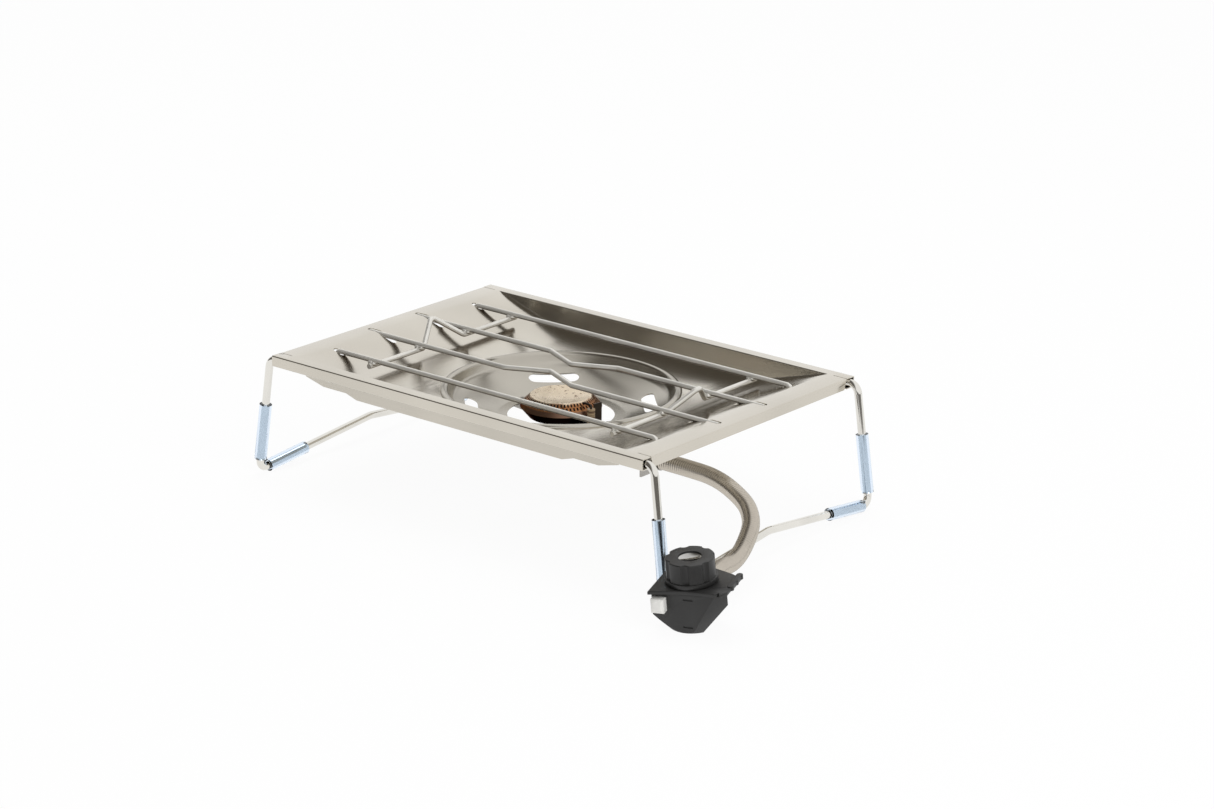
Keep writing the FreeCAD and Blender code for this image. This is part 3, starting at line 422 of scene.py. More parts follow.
def fired_ceramic():
    """Ceramic sleeve with brown heat rings."""
    material, tree, shader = new_material("Fired ceramic", (0.50, 0.36, 0.20), 0.0, 0.35)
    rings = use_group(tree, "Brushed grain", (-700, 0), Stretch=(5.0, 5.0, 900.0))
    contrast = add_node(tree, "ShaderNodeMapRange", (-450, 0))
    contrast.inputs["From Min"].default_value = 0.38
    contrast.inputs["From Max"].default_value = 0.62
    tree.links.new(rings.outputs["Grain"], contrast.inputs["Value"])
    tint = mix_colours(tree, contrast.outputs["Result"], (0.12, 0.07, 0.04), (0.62, 0.46, 0.27), (-200, 100))
    tree.links.new(tint, shader.inputs["Base Color"])
    return material


def port_dark():
    """Near-black inside of the flame ports, with soft patches between two near-black tones."""
    material, tree, shader = new_material("Dark port inside", (0.012, 0.008, 0.006), 0.0, 0.8)
    port_patches = use_group(tree, "Soft patches", (-600, 0), Scale=400.0)
    tint = mix_colours(tree, port_patches.outputs["Value"], (0.010, 0.007, 0.005), (0.030, 0.017, 0.010), (-300, 0))
    tree.links.new(tint, shader.inputs["Base Color"])
    return material


def finishes():
    """Maker of every finish, by the finish's name."""
    if "Brushed grain" not in bpy.data.node_groups:
        grain_group()
        patches_group()
    tones = colours()
    across, even = GRAIN_ACROSS, GRAIN_EVEN
    return {
        "Satin sheet": lambda name: brushed_metal(name, tones.sheet, 0.19, across, spread=0.03, bump=0.006),
        "Shield sheet": lambda name: brushed_metal(name, shade(tones.sheet, 0.95), 0.30, across),
        "Drawn bowl": lambda name: brushed_metal(name, tones.bowl, 0.22, even, 0.03, scale=20.0, bump=0.008),
        "Bright wire": lambda name: brushed_metal(name, tones.wire, 0.10, even, spread=0.03, scale=40.0),
        "Ribbed steel": lambda name: brushed_metal(name, tones.hose, 0.24, even, 0.04, 0.95, 30.0),
        # Painted shade in the hose's grooves: the hose colour darkened to 0.15.
        "Rib groove shade": lambda name: brushed_metal(name, shade(tones.hose, 0.15), 0.4, even, scale=30.0),
        "Plain steel": lambda name: brushed_metal(name, (0.42, 0.40, 0.37), 0.34, even, scale=60.0),
        # Heat-browned burner base, with painted near-black shade on the faces that turn down.
        "Burnt base with painted underside shade": lambda name: underside_shaded_metal(name, tones.burner_base, 0.36, 0.2, -0.6,
                                               (0.012, 0.009, 0.008), 70.0),
        "Dull electrode": lambda name: brushed_metal(name, (0.07, 0.055, 0.045), 0.4, even, scale=120.0),
        "Turned brass": lambda name: brushed_metal(name, tones.brass, 0.25, even, scale=60.0),
        "Dished disc": dished_disc,
        "Charcoal moulding": lambda name: moulded_plastic(name, tones.moulding, 0.42),
        "Knob moulding": lambda name: moulded_plastic(name, shade(tones.moulding, 0.9), 0.40),
        "White moulding": lambda name: moulded_plastic(name, tones.button, 0.35, strength=0.05),
        "Cartridge case": lambda name: moulded_plastic(name, (0.06, 0.06, 0.065), 0.4),
        "Seal rubber": lambda name: moulded_plastic(name, (0.02, 0.02, 0.02), 0.7),
        "Red silicone": lambda name: moulded_plastic(name, (0.38, 0.05, 0.03), 0.5),
        # Plated wire with painted shade on the faces that turn down.
        "Wire with painted underside shade": lambda name: underside_shaded_metal(name, tones.wire, 0.22, -0.05, -0.6,
                                               (0.20, 0.165, 0.13), 40.0, 0.55),
        "Fired ceramic": lambda name: fired_ceramic(),
        "Clear vinyl": lambda name: clear_vinyl(),
        "Burnt cap": lambda name: burnt_cap(),
        "Dark port inside": lambda name: port_dark(),
    }


def finish_of(name):
    """Finish by name, made once."""
    return bpy.data.materials.get(name) or finishes()[name](name)


# Mesh helpers
def new_piece(name, bm, finish, body, replaced=(), smooth=CRISP_ANGLE):
    """Object at the origin from a bmesh, riding on a body in place of CAD nodes."""
    mesh = bpy.data.meshes.new(name)
    bm.to_mesh(mesh)
    bm.free()
    obj = bpy.data.objects.new(name, mesh)
    bpy.context.scene.collection.objects.link(obj)
    mesh.materials.append(finish_of(finish))
    smooth_faces(mesh, smooth)
    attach(obj, body)
    if replaced:
        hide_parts(*replaced)
    return obj


def smooth_faces(mesh, angle):
    """Smooth shading with edges sharper than an angle kept crisp."""
    mesh.shade_smooth()
    mesh.set_sharp_from_angle(angle=math.radians(angle))


def dress(finish, *nodes):
    """Finish on CAD nodes whose shape stays."""
    for node in nodes:
        mesh = NODES[node].data
        mesh.materials.clear()
        mesh.materials.append(finish_of(finish))


def apply_modifiers(obj):
    """Mesh of an object with its modifiers applied."""
    graph = bpy.context.evaluated_depsgraph_get()
    made = bpy.data.meshes.new_from_object(obj.evaluated_get(graph))
    obj.modifiers.clear()
    obj.data = made


def cut_away(obj, cutter_bm):
    """Takes a cutting shape away from an object."""
    mesh = bpy.data.meshes.new("cutter")
    cutter_bm.to_mesh(mesh)
    cutter_bm.free()
    cutter = bpy.data.objects.new("cutter", mesh)
    bpy.context.scene.collection.objects.link(cutter)
    cut = obj.modifiers.new("Cut", "BOOLEAN")
    cut.operation = "DIFFERENCE"
    cut.solver = "EXACT"
    cut.object = cutter
    apply_modifiers(obj)
    bpy.data.objects.remove(cutter)
    smooth_faces(obj.data, CRISP_ANGLE)


def verts_of(made):
    """Vertices in an operator's result."""
    return [item for item in made["geom"] if isinstance(item, bmesh.types.BMVert)]


def extrude_edges(bm, edges, move):
    """Extrudes edges and moves the new vertices by a vector."""
    made = verts_of(bmesh.ops.extrude_edge_only(bm, edges=edges))
    bmesh.ops.translate(bm, verts=made, vec=move)
    return made


def sharp_edges(bm, degrees):
    """Edges between faces that meet at more than an angle."""
    limit = math.radians(degrees)
    return [edge for edge in bm.edges if len(edge.link_faces) == 2 and edge.calc_face_angle(0.0) > limit]


def round_edges(bm, edges, width, segments):
    """Rounds edges."""
    bmesh.ops.bevel(bm, geom=edges, offset=width, offset_type="OFFSET", segments=segments, profile=0.5,
                    affect="EDGES", clamp_overlap=True, material=-1)


def spun(profile, steps):
    """Surface of a profile of (radius, z) points turned about Z, closed where it meets the axis."""
    bm = bmesh.new()
    row = [bm.verts.new((radius, 0.0, z)) for radius, z in profile]
    for first, second in zip(row, row[1:]):
        bm.edges.new((first, second))
    bmesh.ops.spin(bm, geom=bm.verts[:] + bm.edges[:], cent=(0, 0, 0), axis=UP, angle=math.tau, steps=steps,
                   use_merge=True, use_duplicate=False)
    bmesh.ops.remove_doubles(bm, verts=bm.verts, dist=NEAR)
    bmesh.ops.recalc_face_normals(bm, faces=bm.faces)
    return bm


def stadium_cutter(bm, centre, long, wide, z_low, z_high, turn=0.0):
    """Adds an upright cutting prism with round ends."""
    made = bmesh.ops.create_circle(bm, cap_ends=True, radius=wide / 2, segments=32)
    reach = (long - wide) / 2
    for vert in made["verts"]:
        vert.co.x += math.copysign(reach, vert.co.x)
    face = made["verts"][0].link_faces[0]
    top = verts_of(bmesh.ops.extrude_face_region(bm, geom=[face]))
    bmesh.ops.translate(bm, verts=top, vec=UP * (z_high - z_low))
    place = Matrix.Translation((*centre, z_low)) @ Matrix.Rotation(turn, 4, "Z")
    bmesh.ops.transform(bm, matrix=place, verts=made["verts"] + top)


def softened_copy(name, node, finish, body, width, segments=2, angle=30.0, limit=0.6):
    """Copy of a CAD node's solid with rounded edges, in its place."""
    bm = bmesh.new()
    bm.from_mesh(NODES[node].data)
    bmesh.ops.remove_doubles(bm, verts=bm.verts, dist=NEAR)
    bmesh.ops.dissolve_limit(bm, angle_limit=math.radians(limit), verts=bm.verts, edges=bm.edges)
    round_edges(bm, sharp_edges(bm, angle), width, segments)
    return new_piece(name, bm, finish, body, [node])


# Pieces
class STOVE_OT_tray(bpy.types.Operator):
    """Folded tray with rounded folds, hems, skirts and slots, and the shield below it"""

    bl_idname = "stove.tray"
    bl_label = "Tray"

    def execute(self, context):
        size = sizes()
        low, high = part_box("tray")
        floor_level = low.z + size.sheet
        rim = Vector((high.x - size.flange, high.y - size.hem, high.z))
        floor = Vector((rim.x - size.slope_run, rim.y - size.wall_draft, floor_level))
        bm = bmesh.new()
        bmesh.ops.create_grid(bm, x_segments=1, y_segments=1, size=1.0)
        bmesh.ops.scale(bm, vec=(floor.x, floor.y, 1.0), verts=bm.verts)
        bmesh.ops.translate(bm, vec=(0, 0, floor_level), verts=bm.verts)
        wall = extrude_edges(bm, bm.edges[:], (0, 0, high.z - floor_level))
        bmesh.ops.scale(bm, vec=(rim.x / floor.x, rim.y / floor.y, 1.0), verts=wall)
        for side in (-1, 1):
            ends = [edge for edge in bm.edges if edge.is_boundary
                    and all(abs(vert.co.x - side * rim.x) < NEAR for vert in edge.verts)]
            extrude_edges(bm, ends, (side * size.flange, 0, 0))
        for side in (-1, 1):
            sides = [edge for edge in bm.edges if edge.is_boundary
                     and all(abs(vert.co.y - side * rim.y) < NEAR for vert in edge.verts)]
            fold_in = -side * (size.hem - size.sheet)
            for move in ((0, side * size.hem, 0), (0, 0, -size.hem_drop), (0, fold_in, 0)):
                made = extrude_edges(bm, sides, move)
                sides = [edge for edge in bm.edges if all(vert in made for vert in edge.verts)]
        for side in (-1, 1):
            ends = [edge for edge in bm.edges if edge.is_boundary
                    and all(abs(vert.co.x - side * high.x) < NEAR for vert in edge.verts)
                    and all(abs(vert.co.y) < rim.y + NEAR for vert in edge.verts)
                    and all(vert.co.z > high.z - NEAR for vert in edge.verts)]
            made = extrude_edges(bm, ends, (0, 0, -size.skirt_drop))
            bmesh.ops.scale(bm, vec=(1, (high.y - size.skirt_gap) / rim.y, 1), verts=made)
        bmesh.ops.recalc_face_normals(bm, faces=bm.faces)
        if max(bm.faces, key=lambda face: face.calc_area()).normal.z < 0:
            bmesh.ops.reverse_faces(bm, faces=bm.faces)
        feet = [edge for edge in sharp_edges(bm, 5.0) if all(abs(vert.co.z - floor_level) < NEAR
                and abs(abs(vert.co.x) - floor.x) < NEAR for vert in edge.verts)
                and abs(edge.verts[0].co.x - edge.verts[1].co.x) < NEAR]
        round_edges(bm, feet, size.foot_bend, 6)
        round_edges(bm, sharp_edges(bm, 20.0), size.fold, 4)
        tray = new_piece("tray_sheet", bm, "Satin sheet", "stove", ["tray"])
        thick = tray.modifiers.new("Sheet", "SOLIDIFY")
        thick.thickness = size.sheet
        thick.offset = -1.0
        cut_away(tray, self.cuts(size, high, rim))
        dress("Shield sheet", "heat_shield")
        return {"FINISHED"}

    def cuts(self, size, high, rim):
        """Cutting shapes for the bowl's opening, the slots and the relief slits."""
        bm = bmesh.new()
        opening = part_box("burner_bowl")[1].x - OPENING_INSET
        made = bmesh.ops.create_cone(bm, cap_ends=True, segments=ROUND_STEPS, radius1=opening,
                                     radius2=opening, depth=OPENING_DEPTH)
        bmesh.ops.translate(bm, verts=made["verts"], vec=(0, 0, high.z - OPENING_BELOW_RIM))
        leg_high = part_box("outer_back_rail")[1]
        inner_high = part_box("inner_back_rail")[1]
        slots = ((size.leg_slot, leg_high.x + size.slot_fit, leg_high.y - size.wire),
                 (size.rail_slot, inner_high.x + size.slot_room, inner_high.y - size.wire))
        for x_side in (-1, 1):
            for y_side in (-1, 1):
                for start, end, y in slots:
                    stadium_cutter(bm, (x_side * (start + end) / 2, y_side * y), end - start, size.slot_width,
                                   high.z - SLOT_BELOW_RIM, high.z + SLOT_ABOVE_RIM)
                slit = bmesh.ops.create_cube(bm, size=1.0)["verts"]
                bmesh.ops.scale(bm, vec=(2 * size.slit_length, size.slit_width, SLIT_DEPTH), verts=slit)
                bmesh.ops.translate(bm, vec=(x_side * high.x, y_side * rim.y, high.z), verts=slit)
        return bm


class STOVE_OT_bowl(bpy.types.Operator):
    """Drawn bowl with a rolled lip and four air slots"""

    bl_idname = "stove.bowl"
    bl_label = "Bowl"

    def execute(self, context):
        size = sizes()
        low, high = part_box("burner_bowl")
        seat = high.z - LIP_HEIGHT
        centre = high.x - LIP_WIDTH
        profile = [(centre + LIP_WIDTH * math.cos(turn), seat + LIP_HEIGHT * math.sin(turn))
                   for turn in (math.pi * step / LIP_STEPS for step in range(LIP_STEPS + 1))]
        ring = low.z + size.sheet
        profile += [(BOWL_WALL, seat - BOWL_WALL_DROP), (BOWL_FLOOR, ring), (BOWL_HOLE, ring)]
        bm = spun(profile, ROUND_STEPS)
        rings = [edge for edge in sharp_edges(bm, 12.0)
                 if edge.verts[0].co.z < seat - 0.001 and edge.verts[1].co.z < seat - 0.001]
        round_edges(bm, rings, BOWL_BEND, 4)
        if sum(face.normal.z for face in bm.faces) < 0:
            bmesh.ops.reverse_faces(bm, faces=bm.faces)
        bowl = new_piece("bowl_sheet", bm, "Drawn bowl", "stove", ["burner_bowl"])
        thick = bowl.modifiers.new("Sheet", "SOLIDIFY")
        thick.thickness = size.sheet
        thick.offset = -1.0
        cutter = bmesh.new()
        for quarter in range(4):
            turn = math.radians(45 + 90 * quarter)
            place = (-AIR_SLOT_PLACE * math.sin(turn), AIR_SLOT_PLACE * math.cos(turn))
            stadium_cutter(cutter, place, AIR_SLOT_LENGTH, AIR_SLOT_WIDTH, ring, seat - 0.002, turn)
        cut_away(bowl, cutter)
        return {"FINISHED"}


class STOVE_OT_burner(bpy.types.Operator):
    """Burner cap with its flame ports, the cup below it and the spark electrode"""

    bl_idname = "stove.burner"
    bl_label = "Burner"

    def execute(self, context):
        size = sizes()
        low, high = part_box("burner_cap")
        lean = (high.x - CAP_RIM) / (high.z - low.z)
        wall = [(high.x - lean * level, low.z + level) for level in (0.0, *PORT_LEVELS, high.z - low.z)]
        top = [(radius, high.z - drop) for radius, drop in CAP_DISH]
        bm = spun(wall + top, 4 * size.port_count)
        if sum(face.normal.z for face in bm.faces) < 0:
            bmesh.ops.reverse_faces(bm, faces=bm.faces)
        ports = []
        for face in bm.faces:
            middle = face.calc_center_median()
            level = middle.z - low.z
            if middle.xy.length < CAP_RIM:
                continue
            turn = math.atan2(middle.y, middle.x) / math.tau * size.port_count
            if PORT_LEVELS[0] < level < PORT_LEVELS[1] and turn % 1.0 < 0.5:
                ports.append(face)
            if PORT_LEVELS[2] < level < PORT_LEVELS[3] and (turn + 0.5) % 1.0 < 0.5:
                ports.append(face)
        pushed = verts_of(bmesh.ops.extrude_face_region(bm, geom=ports))
        for vert in pushed:
            vert.co -= Vector((vert.co.x, vert.co.y, 0)).normalized() * PORT_DEPTH
        bmesh.ops.delete(bm, geom=[face for face in ports if face.is_valid], context="FACES")
        deep = set(pushed)
        for face in bm.faces:
            if any(vert in deep for vert in face.verts):
                face.material_index = 1
        round_edges(bm, [edge for edge in sharp_edges(bm, 20.0)
                         if all(vert.co.z > high.z - 1e-5 for vert in edge.verts)], CAP_EDGE, 3)
        cap = new_piece("cap_metal", bm, "Burnt cap", "stove", ["burner_cap"])
        cap.data.materials.append(finish_of("Dark port inside"))
        # Heat-browned base with painted shade on its downward faces.
        dress("Burnt base with painted underside shade", "burner_base")
        dress("Dull electrode", "electrode_rod", "electrode_guard")
        dress("Fired ceramic", "electrode_insulator")
        return {"FINISHED"}


class STOVE_OT_pot_support(bpy.types.Operator):
    """Bright wire pot support with its weld beads"""

    bl_idname = "stove.pot_support"
    bl_label = "Pot support"

    def execute(self, context):
        size = sizes()
        rails = [node for node in NODES if node.endswith("_rail")]
        bars = [node for node in NODES if node.endswith("_cross_bar")]
        # Rails, bars and the weld beads below take the wire finish with painted shade on their undersides.
        dress("Wire with painted underside shade", *rails, *bars)
        dice = random.Random(7)
        bm = bmesh.new()
        for rail in rails:
            rail_low, rail_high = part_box(rail)
            outer = rail.startswith("outer")
            side = 1 if "back" in rail else -1
            y = (rail_low.y + rail_high.y) / 2 if outer else side * INNER_RAIL_Y
            for bar in bars:
                bar_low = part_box(bar)[0]
                x = math.copysign(WELD_X, bar_low.x)
                level = bar_low.z + WELD_RISE
                for shift in (-1, 1):
                    made = bmesh.ops.create_icosphere(bm, subdivisions=3, radius=size.bead)["verts"]
                    squash = (0.75 + dice.uniform(0, 0.3), 0.8 + dice.uniform(0, 0.3),
                              0.6 + dice.uniform(0, 0.2))
                    bmesh.ops.scale(bm, vec=squash, verts=made)
                    place = (x + shift * WELD_SHIFT, y + dice.uniform(-WELD_STRAY, WELD_STRAY), level)
                    bmesh.ops.translate(bm, vec=place, verts=made)
        new_piece("weld_beads", bm, "Wire with painted underside shade", "pot_support")
        return {"FINISHED"}


class STOVE_OT_stands(bpy.types.Operator):
    """Bright wire stands with their clear sleeves"""

    bl_idname = "stove.stands"
    bl_label = "Stands"

    def execute(self, context):
        dress("Bright wire", "left_stand_wire", "right_stand_wire")
        dress("Clear vinyl", *[node for node in NODES if node.endswith("_sleeve")])
        return {"FINISHED"}


HOSE_ROUTE = [
    (0.098, 0.0, 0.047),
    (0.1217, 0.0, 0.047),
    (0.1536, -0.0044, 0.04789),
    (0.1866, -0.0167, 0.04239),
    (0.2029, -0.0289, 0.03809),
    (0.2134, -0.0427, 0.03189),
    (0.2239, -0.0727, 0.02029),
    (0.22956, -0.10278, 0.02491),
    (0.23557, -0.12176, 0.02298),
]
HOSE_LENGTH = 0.214


class STOVE_OT_hose(bpy.types.Operator):
    """Ribbed steel hose from the stove to the valve"""

    bl_idname = "stove.hose"
    bl_label = "Hose"

    def execute(self, context):
        size = sizes()
        path = self.even_points(self.centre_line(), int(HOSE_LENGTH / size.rib_pitch) * 4)
        low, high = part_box("stove_ferrule")
        radius = (high.z - low.z) / 2 - FERRULE_WALL
        bm = bmesh.new()
        ring = bmesh.ops.create_circle(bm, cap_ends=True, radius=1.0, segments=size.hose_sides)["verts"]
        edges = list({edge for vert in ring for edge in vert.link_edges})
        before = Matrix.Identity(4)
        for index, point in enumerate(path):
            ahead = path[min(index + 1, len(path) - 1)] - path[max(index - 1, 0)]
            turn = ahead.to_track_quat("Z", "Y").to_matrix().to_4x4()
            thick = radius - size.rib_depth * RIB_PROFILE[index % 4]
            now = Matrix.Translation(point) @ turn @ Matrix.Diagonal((thick, thick, thick, 1.0))
            if index:
                made = bmesh.ops.extrude_edge_only(bm, edges=edges)
                ring = verts_of(made)
                edges = [item for item in made["geom"] if isinstance(item, bmesh.types.BMEdge)]
                # Faces marked 1 take the painted groove shade.
                for face in {face for edge in edges for face in edge.link_faces}:
                    face.material_index = RIB_SHADE[index % 4]
            bmesh.ops.transform(bm, matrix=now @ before.inverted(), verts=ring)
            before = now
        bmesh.ops.contextual_create(bm, geom=edges)
        bmesh.ops.recalc_face_normals(bm, faces=bm.faces)
        hose = new_piece("ribbed_hose", bm, "Ribbed steel", "stove", ["hose"], smooth=60.0)
        # Second material: the painted groove shade.
        hose.data.materials.append(finish_of("Rib groove shade"))
        dress("Plain steel", "stove_ferrule", "valve_ferrule")
        return {"FINISHED"}

    def centre_line(self):
        """Points along the smooth line of the route."""
        curve = bpy.data.curves.new("hose_line", "CURVE")
        curve.dimensions = "3D"
        spline = curve.splines.new("NURBS")
        spline.points.add(len(HOSE_ROUTE) - 1)
        for point, place in zip(spline.points, HOSE_ROUTE):
            point.co = (*place, 1.0)
        spline.order_u = 3
        spline.use_endpoint_u = True
        spline.resolution_u = 40
        holder = bpy.data.objects.new("hose_line", curve)
        mesh = bpy.data.meshes.new_from_object(holder)
        line = [vert.co.copy() for vert in mesh.vertices]
        bpy.data.meshes.remove(mesh)
        bpy.data.objects.remove(holder)
        return line

    def even_points(self, line, count):
        """Points at even steps along a line."""
        reach = [0.0]
        for first, second in zip(line, line[1:]):
            reach.append(reach[-1] + (second - first).length)
        points = []
        index = 0
        for step in range(count + 1):
            goal = reach[-1] * step / count
            while index < len(line) - 2 and reach[index + 1] < goal:
                index += 1
            share = (goal - reach[index]) / (reach[index + 1] - reach[index])
            points.append(line[index].lerp(line[index + 1], share))
        return points


class STOVE_OT_valve(bpy.types.Operator):
    """Moulded valve housing, cover, knob and igniter button"""

    bl_idname = "stove.valve"
    bl_label = "Valve"

    def execute(self, context):
        edge = sizes().moulded_edge
        softened_copy("housing_shell", "valve_body", "Charcoal moulding", "stove", edge)
        softened_copy("cover_shell", "valve_cover", "Charcoal moulding", "stove", edge * 0.6)
        softened_copy("knob_shell", "knob", "Knob moulding", "knob", edge * 0.6)
        softened_copy("button_shell", "igniter_button", "White moulding", "igniter_button", edge)
        dress("Dished disc", "knob_cap")
        return {"FINISHED"}


class STOVE_OT_inner_pieces(bpy.types.Operator):
    """Finishes of the pieces under the tray and inside the valve"""

    bl_idname = "stove.inner_pieces"
    bl_label = "Inner pieces"

    def execute(self, context):
        dress("Plain steel", "burner_bracket", "bracket_screws", "hose_bracket", "mixing_tube",
              "housing_screws", "knob_screw", "valve_spindle", "opening_pin")
        dress("Turned brass", "jet_holder", "gas_jet", "valve_core")
        dress("Red silicone", "ignition_lead")
        dress("Seal rubber", "canister_seal", "spindle_seal")
        dress("Cartridge case", "piezo_unit")
        return {"FINISHED"}


# Stage
class StoveStage(bpy.types.PropertyGroup):
    """Camera, floor and light."""

    azimuth: angle("Azimuth", "Camera's turn about Z", 39.4476)
    elevation: angle("Elevation", "Camera's height angle", 18.5524)
    roll: angle("Roll", "Camera's tilt", 0.5433)
    camera_place: vector("Camera place", "Camera's place", (1.65699, -1.95941, 0.93075), "TRANSLATION")
    lens: number("Lens", "Focal length in millimetres", 106.737)
    floor_size: length("Floor", "Side of the floor", 24.0)
    floor_glow: number("Floor glow", "Share of plain white in the seen floor", 0.94)
    bright_side: vector("Bright side", "Direction away from the dim surroundings", (0.6, 0.6, -0.5))
    bright_floor: vector("Bright floor", "Direction of the floor's brighter part", (-0.7, 0.6, 0.0))
    dim_side: colour("Dim side", "Colour of the dim mirrored surroundings", (0.125, 0.116, 0.105))
    sky_light: number("Sky light", "Strength of the even light", 0.45)
    key_power: number("Key power", "Power of the large soft lamp in watts", 34.0)
    fill_power: number("Fill power", "Power of the second lamp in watts", 24.0)


def seen_directly(tree):
    """Socket that is one for camera, glossy and transmission rays."""
    path = add_node(tree, "ShaderNodeLightPath", (-900, 300))
    first = add_node(tree, "ShaderNodeMath", (-650, 300), operation="ADD")
    second = add_node(tree, "ShaderNodeMath", (-450, 300), operation="ADD", use_clamp=True)
    tree.links.new(path.outputs["Is Camera Ray"], first.inputs[0])
    tree.links.new(path.outputs["Is Glossy Ray"], first.inputs[1])
    tree.links.new(first.outputs["Value"], second.inputs[0])
    tree.links.new(path.outputs["Is Transmission Ray"], second.inputs[1])
    return second.outputs["Value"]


def studio(tree, place, bright, limits, dim):
    """Colour of the surroundings: white, but in mirrors dim on the side away from a bright direction."""
    lean = add_node(tree, "ShaderNodeVectorMath", (-900, -300), operation="DOT_PRODUCT")
    lean.inputs[1].default_value = bright
    tree.links.new(place, lean.inputs[0])
    share = add_node(tree, "ShaderNodeMapRange", (-700, -300), interpolation_type="SMOOTHSTEP")
    share.inputs["From Min"].default_value = limits[0]
    share.inputs["From Max"].default_value = limits[1]
    tree.links.new(lean.outputs["Value"], share.inputs["Value"])
    room = mix_colours(tree, share.outputs["Result"], dim, (1, 1, 1), (-500, -300))
    path = add_node(tree, "ShaderNodeLightPath", (-700, -600))
    mix = add_node(tree, "ShaderNodeMix", (-250, -300), data_type="RGBA")
    tree.links.new(path.outputs["Is Glossy Ray"], mix.inputs["Factor"])
    mix.inputs["A"].default_value = (1, 1, 1, 1)
    tree.links.new(room, mix.inputs["B"])
    return mix.outputs["Result"]


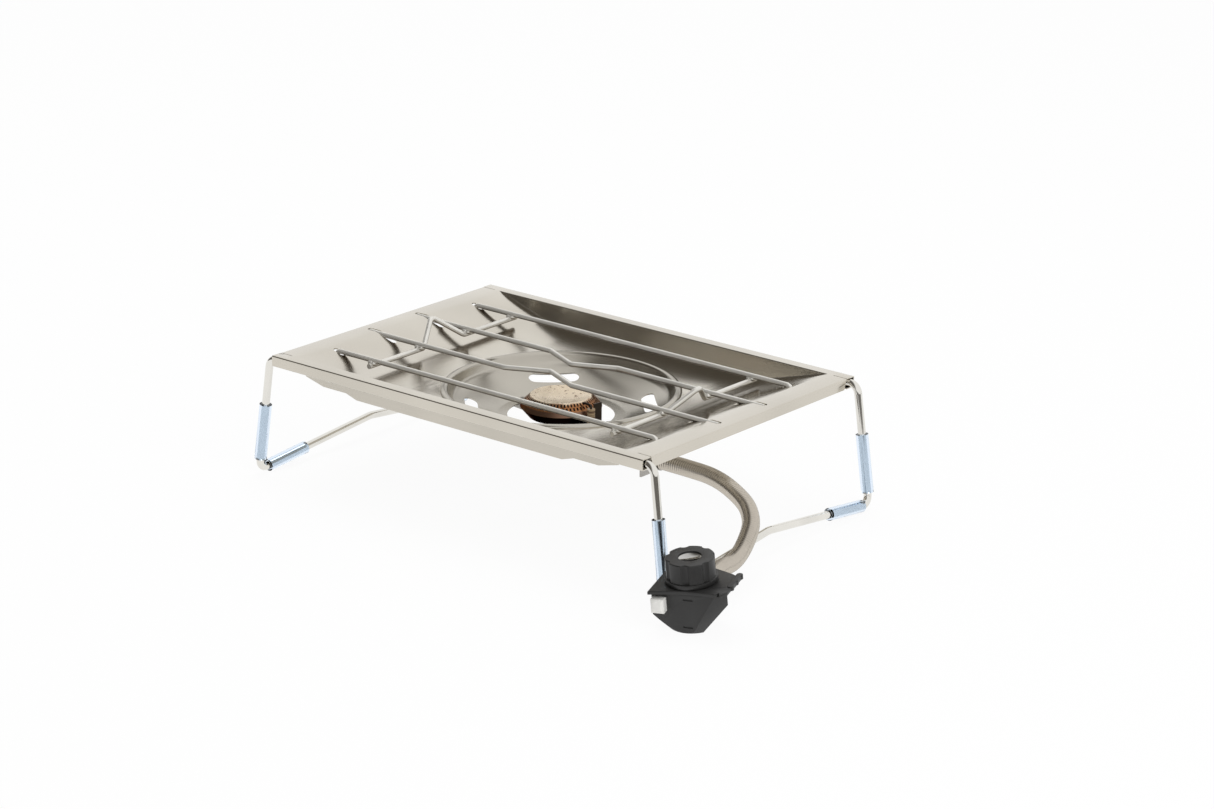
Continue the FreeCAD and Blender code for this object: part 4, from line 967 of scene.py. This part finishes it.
class STOVE_OT_stage(bpy.types.Operator):
    """Pale floor, soft lamps, white surroundings and the camera"""

    bl_idname = "stove.stage"
    bl_label = "Stage"

    def execute(self, context):
        stage = context.scene.stove_stage
        self.floor(stage)
        self.world(stage)
        self.lamp("key_lamp", KEY_PLACE, KEY_SIDE, stage.key_power)
        self.lamp("fill_lamp", FILL_PLACE, FILL_SIDE, stage.fill_power)
        camera = bpy.data.objects.new("camera", bpy.data.cameras.new("camera"))
        context.scene.collection.objects.link(camera)
        camera.data.lens = stage.lens
        camera.data.clip_end = 100.0
        turn = Matrix.Rotation(stage.azimuth, 4, "Z")
        tip = Matrix.Rotation(math.pi / 2 - stage.elevation, 4, "X")
        roll = Matrix.Rotation(stage.roll, 4, "Z")
        camera.matrix_world = Matrix.Translation(stage.camera_place) @ turn @ tip @ roll
        context.scene.camera = camera
        context.scene.view_settings.view_transform = "Standard"
        return {"FINISHED"}

    def floor(self, stage):
        """White floor that keeps a soft shadow; in mirrors its glow is painted dim on the side away from its
        brighter part.
        """
        bm = bmesh.new()
        bmesh.ops.create_grid(bm, x_segments=1, y_segments=1, size=stage.floor_size / 2)
        mesh = bpy.data.meshes.new("floor")
        bm.to_mesh(mesh)
        bm.free()
        floor = bpy.data.objects.new("floor", mesh)
        bpy.context.scene.collection.objects.link(floor)
        material, tree, shader = new_material("White floor", (0.9, 0.9, 0.9), 0.0, 0.6)
        glow = add_node(tree, "ShaderNodeEmission", (-200, -300))
        coordinates = add_node(tree, "ShaderNodeTexCoord", (-1100, -300))
        # Painted reflection: for glossy rays the floor's glow turns dim beyond a line, standing in for dim
        # surroundings.
        room = studio(tree, coordinates.outputs["Object"], stage.bright_floor, FLOOR_LIMITS, stage.dim_side)
        tree.links.new(room, glow.inputs["Color"])
        share = add_node(tree, "ShaderNodeMath", (-200, 300), operation="MULTIPLY")
        share.inputs[1].default_value = stage.floor_glow
        tree.links.new(seen_directly(tree), share.inputs[0])
        mix = add_node(tree, "ShaderNodeMixShader", (300, 0))
        tree.links.new(share.outputs["Value"], mix.inputs["Fac"])
        tree.links.new(shader.outputs["BSDF"], mix.inputs[1])
        tree.links.new(glow.outputs["Emission"], mix.inputs[2])
        tree.links.new(mix.outputs["Shader"], tree.nodes["Material Output"].inputs["Surface"])
        mesh.materials.append(material)

    def world(self, stage):
        """White surroundings, with a softer light of their own."""
        world = bpy.data.worlds.new("surroundings")
        bpy.context.scene.world = world
        world.use_nodes = True
        tree = world.node_tree
        even = tree.nodes["Background"]
        even.inputs["Color"].default_value = (1, 1, 1, 1)
        even.inputs["Strength"].default_value = stage.sky_light
        seen = add_node(tree, "ShaderNodeBackground", (0, -200))
        coordinates = add_node(tree, "ShaderNodeTexCoord", (-1100, -300))
        room = studio(tree, coordinates.outputs["Generated"], stage.bright_side, SIDE_LIMITS, stage.dim_side)
        tree.links.new(room, seen.inputs["Color"])
        mix = add_node(tree, "ShaderNodeMixShader", (250, 0))
        tree.links.new(seen_directly(tree), mix.inputs["Fac"])
        tree.links.new(even.outputs["Background"], mix.inputs[1])
        tree.links.new(seen.outputs["Background"], mix.inputs[2])
        tree.links.new(mix.outputs["Shader"], tree.nodes["World Output"].inputs["Surface"])

    def lamp(self, name, place, side, power):
        """Square soft lamp aimed at the stove, left out of mirrors."""
        data = bpy.data.lights.new(name, "AREA")
        data.size = side
        data.energy = power
        lamp = bpy.data.objects.new(name, data)
        bpy.context.scene.collection.objects.link(lamp)
        lamp.location = place
        lamp.visible_glossy = False
        lamp.rotation_euler = Vector(place).to_track_quat("Z", "Y").to_euler()


class STOVE_PT_parts(bpy.types.Panel):
    """Sidebar panel that lists the stove's pieces and sizes"""

    bl_label = "Stove"
    bl_space_type = "VIEW_3D"
    bl_region_type = "UI"
    bl_category = "Stove"

    def draw(self, context):
        layout = self.layout
        for step in STEPS:
            layout.operator("stove." + step)
        for group in (context.scene.stove_sizes, context.scene.stove_colours, context.scene.stove_stage):
            box = layout.box()
            for name in group.bl_rna.properties.keys():
                if name not in {"rna_type", "name"}:
                    box.prop(group, name)


STEPS = ("stage", "hose", "tray", "bowl", "burner", "pot_support", "stands", "valve", "inner_pieces")
GROUPS = {"stove_sizes": StoveSizes, "stove_colours": StoveColours, "stove_stage": StoveStage}
CLASSES = (
    StoveSizes, StoveColours, StoveStage, STOVE_OT_tray, STOVE_OT_bowl, STOVE_OT_burner, STOVE_OT_pot_support,
    STOVE_OT_stands, STOVE_OT_hose, STOVE_OT_valve, STOVE_OT_inner_pieces, STOVE_OT_stage, STOVE_PT_parts,
)


def register():
    """Registers the classes and the scene's properties."""
    for cls in CLASSES:
        bpy.utils.register_class(cls)
    for name, group in GROUPS.items():
        setattr(bpy.types.Scene, name, PointerProperty(type=group))


def unregister():
    """Takes the classes and the scene's properties away again."""
    for name in GROUPS:
        delattr(bpy.types.Scene, name)
    for cls in reversed(CLASSES):
        bpy.utils.unregister_class(cls)


def main():
    """Makes every piece and the stage."""
    register()
    for step in STEPS:
        getattr(bpy.ops.stove, step)()


if __name__ == "__main__":
    main()
